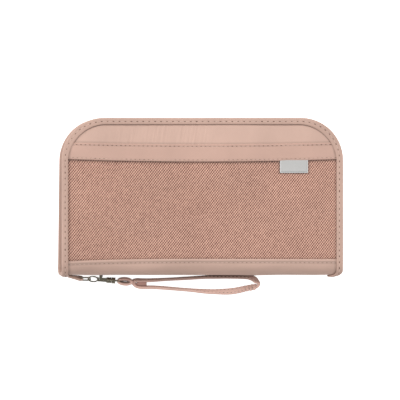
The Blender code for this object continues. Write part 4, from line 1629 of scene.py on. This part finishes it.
@dataclass
class WristStrap(Body):
    """Tab, short loop, sewn lap and wrist loop, all of folded cloth that stands on its edge."""

    width: float = 6.0 * MM
    cloth: float = 2.2 * MM
    stitch_pitch: float = 3.4 * MM
    stitch_length: float = 2.2 * MM
    hole: Pair = (1.5 * MM, 0.5 * MM)
    stitched: tuple[int, int] = (12, -14)
    lift: float = 0.2 * MM
    bar: Pair = (-0.1056, -0.0728)
    tilt: float = math.radians(-4)
    axis_z: float = 4.6 * MM
    loop_length: float = 14.4 * MM
    loop_width: float = 6.2 * MM
    step: float = 0.8 * MM
    ring_middle: Pair = (-0.0728, 0.0049)
    ring_tilt: float = math.radians(19)
    ring_reach: float = 7.9 * MM
    ring_height: float = 8.0 * MM
    ring_corner: float = 2.0 * MM
    ring_wire: float = 1.2 * MM
    under_spine: float = -72.4 * MM
    upper_run: float = -76.2 * MM
    crumple_at: float = 124 * MM
    crumple_span: float = 8 * MM
    crumple_pitch: float = 3.3 * MM
    crumple_height: float = 0.55 * MM
    lap_y: float = -77.1 * MM
    lap_start: float = 2.0 * MM
    lap_trim: float = 1.6 * MM
    lap_cloth: float = 3.4 * MM
    pinch: Pair = (-0.0598, -0.0753)
    pinch_start: float = 0.5 * MM
    pinch_length: float = 1.7 * MM
    pinch_down: float = 0.6 * MM
    pinch_cloth: float = 5.4 * MM
    tab_gap: float = 0.3 * MM
    tab_turn: float = 0.5 * MM
    tab_table: tuple[Pair, ...] = (
        (0, 2.0 * MM),
        (9, 1.9 * MM),
        (12, 1.0 * MM),
        (22, 1.0 * MM),
        (25, 1.9 * MM),
        (34, 2.0 * MM),
    )
    route: tuple[Pair, ...] = (
        (-0.0598, -0.0749),
        (-0.0565, -0.0740),
        (-0.0525, -0.0741),
        (-0.0440, -0.0740),
        (-0.0280, -0.0732),
        (-0.0100, -0.0722),
        (0.0060, -0.0712),
        (0.0200, -0.0707),
        (0.0320, -0.0706),
        (0.0400, -0.0707),
        (0.0450, -0.0717),
        (0.0495, -0.0747),
        (0.0519, -0.0777),
        (0.0486, -0.0797),
        (0.0400, -0.0814),
        (0.0330, -0.0830),
        (0.0240, -0.0841),
        (0.0080, -0.0841),
        (-0.0090, -0.0828),
        (-0.0200, -0.0819),
        (-0.0310, -0.0810),
        (-0.0400, -0.0804),
        (-0.0475, -0.0803),
        (-0.0530, -0.0802),
        (-0.0570, -0.0790),
        (-0.0598, -0.0762),
    )
    lean_table: tuple[Pair, ...] = (
        (0.0, -22.0),
        (0.016, -16.0),
        (0.030, -8.0),
        (0.060, -12.0),
        (0.078, -30.0),
        (0.092, -36.0),
        (0.100, -46.0),
        (0.109, -50.0),
        (0.1150, 0.0),
        (0.1205, 50.0),
        (0.140, 62.0),
        (0.158, 34.0),
        (0.180, 12.0),
        (0.215, 14.0),
        (0.235, 20.0),
    )

    def smooth_route(self) -> list[Vector]:
        """The route as a smooth curve with even steps, in the model's frame.

        Returns:
            Points along the middle of the strap.
        """
        places = [Vector((x, y, 0)) for x, y in self.route]
        ends = [places[0], *places, places[-1]]
        close = []
        for i in range(len(places) - 1):
            a, b, c, d = ends[i : i + 4]
            for n in range(24):
                t = n / 24
                close.append(
                    0.5
                    * (
                        2 * b
                        + (c - a) * t
                        + (2 * a - 5 * b + 4 * c - d) * t * t
                        + (3 * b - a - 3 * c + d) * t**3
                    )
                )
        close.append(places[-1])
        even, run = [close[0]], 0.0
        for a, b in zip(close, close[1:]):
            run += (b - a).length
            if run >= self.step:
                even.append(b)
                run = 0.0
        return even

    def band_section(self, width: float, cloth: float) -> list[Pair]:
        """Section of the strap: a flat band with round edges and a stitch groove near each.

        Args:
            width: the band's width.
            cloth: its thickness.

        Returns:
            Points as distance across the thickness and along the width.
        """
        half, side = width / 2, cloth / 2
        face = [
            (side, -0.72),
            (side * 0.80, -0.54),
            (side * 1.04, -0.2),
            (side * 1.04, 0.2),
            (side * 0.80, 0.54),
            (side, 0.72),
        ]
        points = [(a, b * half) for a, b in face]
        points += [(side * 0.6, half * 0.95), (0, half), (-side * 0.6, half * 0.95)]
        points += [(-a, -b * half) for a, b in face]
        points += [(-side * 0.6, -half * 0.95), (0, -half), (side * 0.6, -half * 0.95)]
        return points

    def build(self) -> None:
        route = self.smooth_route()
        frames, runs, creases = [], [0.0], []
        flat = [place.copy() for place in route]
        for i, place in enumerate(flat):
            if i:
                runs.append(runs[-1] + (place - flat[i - 1]).length)
            ahead = (flat[min(i + 1, len(flat) - 1)] - flat[max(i - 1, 0)]).normalized()
            lean = math.radians(between(self.lean_table, runs[-1]))
            across, up = leaned(Vector((-ahead.y, ahead.x, 0)), Vector((0, 0, 1)), lean)
            rise = self.width / 2 * math.cos(lean) + self.cloth / 2 * abs(math.sin(lean))
            crumple = near(runs[-1] - self.crumple_at, self.crumple_span)
            crumple *= math.sin(2 * math.pi * runs[-1] / self.crumple_pitch)
            route[i] = Vector((place.x, place.y, self.lift + rise))
            creases.append(max(0.0, -crumple))
            frames.append((route[i] + across * self.crumple_height * crumple, across, up))
        loop = sweep("wrist_loop_strap", frames, self.band_section(self.width, self.cloth), STRAP)
        # Painted shade in the creases: where the crumple dips in, the cloth's colour is darkened further
        size = len(self.band_section(1, 1))
        depth = [creases[n // size] for n in range(len(creases) * size)]
        paint_shade(loop, self.shade)
        for entry, amount in zip(loop.data.attributes["seam"].data, depth):
            entry.value = min(1.0, entry.value + 0.7 * amount)
        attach(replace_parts(loop, "wrist_loop"), "clasp")
        first, last = self.stitched
        for number, (side, edge) in enumerate(((1, 1), (1, -1), (-1, 1), (-1, -1)), 1):
            path = [
                (p + across * (side * self.cloth * 0.42) + up * (edge * self.width * 0.27), across * side)
                for p, across, up in frames[first:last]
            ]
            for row in self.sewn_row("wrist_loop", path, self.hole, f"_{number}"):
                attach(row, "clasp")
        self.report(loop)
        self.lap()
        self.short_loop()
        self.tab()
        self.ring()

    def ring(self) -> None:
        """The D-ring, which lies over a little in its tab."""
        half, corner = self.ring_height / 2, self.ring_corner
        start, end = self.bar[0], self.bar[0] + self.ring_reach
        y, z = self.ring_middle
        points = [Vector((start, y, z - half + half / 4 * k)) for k in range(9)]
        points += [Vector((start + (end - corner - start) * k / 5, y, z + half)) for k in range(1, 6)]
        for k in range(1, 9):
            turn = math.pi / 2 * (1 - k / 8)
            x, up = end - corner + corner * math.cos(turn), z + half - corner + corner * math.sin(turn)
            points.append(Vector((x, y, up)))
        points += [Vector((p.x, y, 2 * z - p.z)) for p in reversed(points[9:])]
        count = len(points)
        frames = []
        for k, place in enumerate(points):
            along = (points[(k + 1) % count] - points[k - 1]).normalized()
            side = Vector((0, 1, 0))
            out = along.cross(side).normalized()
            placed = tilted(place, self.ring_middle, self.ring_tilt)
            side, out = (tilted(way, (0, 0), self.ring_tilt) for way in (side, out))
            frames.append((placed, side, out))
        piece = sweep("d_ring", frames, circle(self.ring_wire / 2, 14), NICKEL, closed=True)
        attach(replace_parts(piece, "ring"), "ring")
        self.report(piece)

    def shade(self, place: Vector) -> float:
        """Shade on the part of the strap that lies close under the spine.

        Args:
            place: the place on the strap.

        Returns:
            The shade, from 0 to 1.
        """
        close = clamped((place.y - self.under_spine) / (2.4 * MM))
        along = near(place.x - 26 * MM, 34 * MM)
        upper = 0.45 * clamped((place.y - self.upper_run) / (2.0 * MM))
        return min(1.0, upper + 0.75 * close * along)

    def lap(self) -> None:
        """Cut end of the strap inside the lap, and the bar of thread that pinches the layers."""
        low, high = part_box("strap_lap")
        middle_z = (low[2] + high[2]) / 2
        ways = Vector((0, 1, 0)), Vector((0, 0, 1))
        frames = []
        for i in range(17):
            x = low[0] + self.lap_start + (high[0] - low[0] - self.lap_trim) * i / 16
            frames.append((Vector((x, self.lap_y, middle_z)), *ways))

        def section(i: int) -> list[Pair]:
            """The cut end narrows to the stitched pinch at its left."""
            squeeze = 0.45 + 0.55 * min(1.0, i / 16 / 0.3)
            return self.band_section(self.width * 0.96, self.lap_cloth * squeeze)

        piece = sweep("sewn_lap", frames, section, STRAP_IN_PAINTED_SHADE)
        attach(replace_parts(piece, "strap_lap"), "clasp")
        self.report(piece)
        bar = []
        for i in range(9):
            x = self.pinch[0] + self.pinch_start + self.pinch_length * i / 8
            bar.append((Vector((x, self.pinch[1] - self.pinch_down, middle_z)), *ways))

        def wraps(i: int) -> list[Pair]:
            """Each turn of the thread stands up a little."""
            swell = 1 + 0.10 * (i % 2)
            return self.band_section(self.width * 1.02 * swell, self.pinch_cloth * swell)

        wrapped = sweep("pinch_bar", bar, wraps, STRAP)
        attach(wrapped, "clasp")
        self.report(wrapped)

    def short_loop(self) -> None:
        """Short loop of strap through the swivel's eye."""
        low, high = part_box("strap_short_loop")
        middle = Vector((low[0] + self.loop_length / 2, (low[1] + high[1]) / 2, self.axis_z))
        a, b = (self.loop_length - self.cloth) / 2, (self.loop_width - self.cloth) / 2
        turn = Matrix.Rotation(self.tilt, 3, "Z")
        frames = []
        count = 64
        for i in range(count):
            t = 2 * math.pi * i / count
            narrow = 1 - 0.55 * max(0.0, math.cos(t)) ** 3
            place = middle + turn @ Vector((a * math.cos(t), b * math.sin(t) * narrow, 0))
            out = turn @ Vector((b * math.cos(t), a * math.sin(t), 0)).normalized()
            lean = -18.0 * max(0.0, math.sin(t)) ** 0.7 + 24.0 * max(0.0, -math.sin(t)) ** 0.7
            across, up = leaned(out, Vector((0, 0, 1)), math.radians(lean))
            frames.append((place, across, up))
        band = self.band_section(self.width, self.cloth)
        piece = sweep("short_loop_strap", frames, band, STRAP, closed=True)

        def inside(p: Vector) -> float:
            """Shade on the faces that look into the loop.

            Args:
                p: the place on the loop.

            Returns:
                The shade, from 0 to 1.
            """
            flat = turn.inverted() @ (p - middle)
            reach = math.hypot(flat.x / a, (flat.y + 0.2 * MM) / b)
            return 0.95 * clamped((0.86 - reach) / 0.22) * (1.0 if flat.y < 1.2 * MM else 0.5)

        paint_shade(piece, inside)
        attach(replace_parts(piece, "strap_short_loop"), "swivel")
        self.report(piece)

    def tab_shade(self, place: Vector) -> float:
        """Shade on the tab's upper layer, which lies under the overhang of the spine."""
        middle = -70.5 * MM - 0.24 * (place.x + 117 * MM)
        return 0.95 * clamped((place.y - middle) / (1.0 * MM))

    def tab(self) -> None:
        """Folded tab that holds the ring on the end of the spine."""
        low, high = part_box("strap_tab")
        height = high[2] - low[2]
        bar = Vector((self.bar[0], self.bar[1], (low[2] + high[2]) / 2))
        wrap = self.ring_wire / 2 + self.tab_gap + self.tab_turn
        upper = Vector((low[0] - 0.4 * MM, high[1] - 0.5 * MM, bar.z))
        lower = Vector((low[0] + 0.3 * MM, high[1] - 1.2 * MM, bar.z))
        points = [upper.lerp(bar + Vector((0.65 * wrap, 0.76 * wrap, 0)), i / 10) for i in range(10)]
        points += [
            bar + Vector((math.cos(a), math.sin(a), 0)) * wrap
            for a in (math.radians(50 - 170 * i / 14) for i in range(15))
        ]
        end = points[-1]
        points += [end.lerp(lower, (i + 1) / 10) for i in range(10)]
        frames = []
        for i, place in enumerate(points):
            ahead = (points[min(i + 1, len(points) - 1)] - points[max(i - 1, 0)]).normalized()
            frames.append((place, Vector((-ahead.y, ahead.x, 0)), Vector((0, 0, 1))))

        def layers(i: int) -> list[Pair]:
            """The cloth is pressed thin where it turns round the ring's bar."""
            return self.band_section(height, between(self.tab_table, i))

        piece = sweep("ring_tab", frames, layers, SMOOTH)
        paint_shade(piece, self.tab_shade)
        for vertex in piece.data.vertices:
            share = clamped((vertex.co.x - low[0]) / (bar.x - 1.5 * MM - low[0]))
            vertex.co = tilted(vertex.co, self.ring_middle, self.ring_tilt * share)
        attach(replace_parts(piece, "strap_tab"), "spine")
        self.report(piece)


@dataclass
class Hardware(Body):
    """Metal pieces and hidden boards, which keep their solids and get their finishes."""

    finishes: tuple[tuple[str, Cloth | Metal], ...] = (
        ("zip_slider", NICKEL),
        ("zip_pull", NICKEL),
        ("clasp_hook", NICKEL),
        ("clasp_lever", NICKEL),
        ("swivel_eye", NICKEL),
        ("lever_pin", STEEL),
        ("front_board", STIFFENER),
        ("rear_board", STIFFENER),
    )
    pivot: Point = (-0.0977, -0.0728, 0.0046)
    tilt: float = math.radians(-4)
    rim_wire: float = 0.34 * MM
    rim_corner: float = 1.6 * MM
    rim_in: float = 0.6 * MM
    rim_start: float = 6.0 * MM
    rim_lift: float = 0.05 * MM
    rib_start: float = 3.2 * MM
    rib_pitch: float = 1.5 * MM
    rib_in: float = 1.2 * MM
    rib_step: float = 0.35 * MM
    pad_start: float = 7.9 * MM
    pad_length: float = 3.0 * MM
    pad_out: float = 3.1 * MM
    pad_heights: Pair = (0.65 * MM, 0.95 * MM)
    pad_depth: float = 0.8 * MM
    ridges: tuple[tuple[str, float, float], ...] = (
        ("clasp", 15.9 * MM, 2.25 * MM),
        ("clasp", 18.1 * MM, 2.25 * MM),
        ("swivel", 19.6 * MM, 2.45 * MM),
        ("swivel", 21.6 * MM, 2.45 * MM),
    )
    ridge_wire: float = 0.42 * MM

    def build(self, nodes: dict) -> None:
        """Dress each solid.

        Args:
            nodes: the model's solids by name.
        """
        for name, finish in self.finishes:
            solid = nodes[name]
            if not solid.material_slots:
                solid.data.materials.append(None)
            for entry in solid.material_slots:
                entry.material = finish.build()
            LOG.info("%s: dressed", name)
        self.turn_ridges()
        self.thumb_pad()
        self.pull_rim()

    def axes(self) -> tuple[Vector, Vector]:
        """Direction along the clasp, and the level one across it."""
        along = Matrix.Rotation(self.tilt, 3, "Z") @ Vector((1, 0, 0))
        return along, Vector((0, 0, 1)).cross(along)

    def pull_rim(self) -> None:
        """Raised rim and grip ribs on the outer face of the zip's pull."""
        low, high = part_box("zip_pull")
        face = high[0] + self.rim_lift
        corner = self.rim_corner
        start, end = low[1] + self.rim_start, high[1] - self.rim_in
        bottom, top = low[2] + self.rim_in, high[2] - self.rim_in
        outline = []
        for y, z, first in (
            (end - corner, top - corner, 0),
            (start + corner, top - corner, 90),
            (start + corner, bottom + corner, 180),
            (end - corner, bottom + corner, 270),
        ):
            for k in range(7):
                turn = math.radians(first + 15 * k)
                outline.append((y + corner * math.cos(turn), z + corner * math.sin(turn), turn))
        wire = circle(self.rim_wire, 10)
        frames = [
            (Vector((face, y, z)), Vector((1, 0, 0)), Vector((0, math.cos(turn), math.sin(turn))))
            for y, z, turn in outline
        ]
        pieces = [sweep("pull_rim", frames, wire, NICKEL, closed=True)]
        for number in range(3):
            y = end - self.rib_start - self.rib_pitch * number
            rib = []
            for k in range(8):
                place = Vector((face, y, bottom + self.rib_in + self.rib_step * k))
                rib.append((place, Vector((1, 0, 0)), Vector((0, 1, 0))))
            pieces.append(sweep(f"pull_grip_rib_{number + 1}", rib, wire, NICKEL))
        for piece in pieces:
            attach(piece, "zip_pull")
            self.report(piece)

    def thumb_pad(self) -> None:
        """Ribbed pad on the lever's thumb catch."""
        along, side = self.axes()
        frames = []
        for k in range(13):
            x = self.pad_start + self.pad_length * k / 12
            place = Vector(self.pivot) + along * x + side * self.pad_out
            frames.append((place, side, Vector((0, 0, 1))))

        def pad(k: int) -> list[Pair]:
            """Section whose height rises and falls with the ribs, smaller at both ends.

            Args:
                k: the section's number.

            Returns:
                The section's points.
            """
            groove, rib = self.pad_heights
            top, bottom = rib if k % 4 else groove, -self.pad_depth
            size = 0.7 if k in (0, 12) else 1.0
            corners = ((bottom, -1.1 * MM), (top, -0.9 * MM), (top, 0.9 * MM), (bottom, 1.1 * MM))
            return [(a * size, b * size) for a, b in corners]

        piece = sweep("lever_thumb_pad", frames, pad, NICKEL)
        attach(piece, "clasp_lever")
        self.report(piece)

    def turn_ridges(self) -> None:
        """Turned ridges on the clasp's collar and on the swivel's barrel."""
        along, side = self.axes()
        ring = circle(self.ridge_wire, 10)
        for number, (body, place, radius) in enumerate(self.ridges, 1):
            centre = Vector(self.pivot) + along * place
            frames = []
            for k in range(36):
                turn = 2 * math.pi * k / 36
                out = side * math.cos(turn) + Vector((0, 0, 1)) * math.sin(turn)
                frames.append((centre + out * radius, out, along))
            piece = sweep(f"{body}_ridge_{number}", frames, ring, NICKEL, closed=True)
            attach(piece, body)
            self.report(piece)


@dataclass
class Studio:
    """White table, level light and the camera over the wallet."""

    pixel: float = 0.8766 * MM
    picture: int = 400
    sensor: float = 36.0
    face_height: float = 22 * MM
    centre: Pair = (-0.5 * MM, -3.0 * MM)
    distance: float = 1.8
    sky: float = 0.43
    table_size: float = 4.0
    table_glow: float = 0.85
    panels: tuple[tuple[str, Point, float, float], ...] = (
        ("key_panel", (0.35, 1.15, 1.25), 1.0, 13.8),
        ("fill_panel", (0.9, -0.2, 1.4), 1.4, 7.0),
        ("left_panel", (-1.3, 0.12, 0.42), 0.8, 9.0),
    )

    def build(self) -> None:
        """Make the camera, lights, world and table."""
        self.camera()
        self.world()
        for panel in self.panels:
            self.lamp(*panel)
        self.table()

    def camera(self) -> None:
        """Camera straight above, with a long lens."""
        data = bpy.data.cameras.new("camera")
        data.sensor_width = self.sensor
        data.lens = self.sensor * (self.distance - self.face_height) / (self.picture * self.pixel)
        made = bpy.data.objects.new("camera", data)
        made.location = (*self.centre, self.distance)
        bpy.context.scene.collection.objects.link(made)
        bpy.context.scene.camera = made

    def world(self) -> None:
        """Soft light from all round, white to the camera."""
        world = bpy.data.worlds.new("studio")
        world.use_nodes = True
        tree = world.node_tree
        sky = tree.nodes["Background"]
        rays = add_node(tree, "ShaderNodeLightPath", {})
        seen = add_node(
            tree,
            "ShaderNodeMath",
            {0: rays.outputs["Is Camera Ray"], 1: rays.outputs["Is Transmission Ray"]},
            operation="MAXIMUM",
        )
        strength = add_node(
            tree, "ShaderNodeMapRange", {"Value": seen.outputs[0], "To Min": self.sky, "To Max": 1.0}
        )
        tree.links.new(strength.outputs["Result"], sky.inputs["Strength"])
        sky.inputs["Color"].default_value = (1, 1, 1, 1)
        bpy.context.scene.world = world

    def lamp(self, name: str, place: Point, size: float, power: float) -> None:
        """A square panel lamp aimed at the wallet.

        Args:
            name: the lamp's name.
            place: where it stands.
            size: the length of its side.
            power: its power in watts.
        """
        data = bpy.data.lights.new(name, "AREA")
        data.size = size
        data.energy = power
        made = bpy.data.objects.new(name, data)
        made.location = place
        made.rotation_euler = (-Vector(place)).to_track_quat("-Z", "Y").to_euler()
        bpy.context.scene.collection.objects.link(made)

    def table(self) -> None:
        """White table top that stays white to the camera but still takes shadows."""
        mesh = bpy.data.meshes.new("table")
        size = self.table_size
        corners = [(-size, -size, 0), (size, -size, 0), (size, size, 0), (-size, size, 0)]
        mesh.from_pydata(corners, [], [(0, 1, 2, 3)])
        table = bpy.data.objects.new("table", mesh)
        bpy.context.scene.collection.objects.link(table)
        white = bpy.data.materials.new("white_laminate")
        white.use_nodes = True
        tree = white.node_tree
        shader = tree.nodes["Principled BSDF"]
        shader.inputs["Base Color"].default_value = linear("F4F4F4")
        shader.inputs["Roughness"].default_value = 0.9
        shader.inputs["Emission Color"].default_value = (1, 1, 1, 1)
        rays = add_node(tree, "ShaderNodeLightPath", {})
        glow = add_node(
            tree,
            "ShaderNodeMath",
            {0: rays.outputs["Is Camera Ray"], 1: self.table_glow},
            operation="MULTIPLY",
        )
        tree.links.new(glow.outputs[0], shader.inputs["Emission Strength"])
        mesh.materials.append(white)


def main() -> None:
    """Build the scene."""
    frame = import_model()
    bpy.context.scene.view_settings.view_transform = "Standard"
    shell = Shell()
    Studio().build()
    WristStrap(shell).build()
    FrontFace(shell).build()
    Wrap(shell).build()
    Binding(shell).build()
    RearFace(shell).build()
    ZipWall(shell).build()
    Linings(shell).build()
    Hardware(shell).build(frame["nodes"])
    bpy.context.view_layer.update()


if __name__ == "__main__":
    logging.basicConfig(level=logging.INFO, format="%(name)s: %(message)s")
    main()
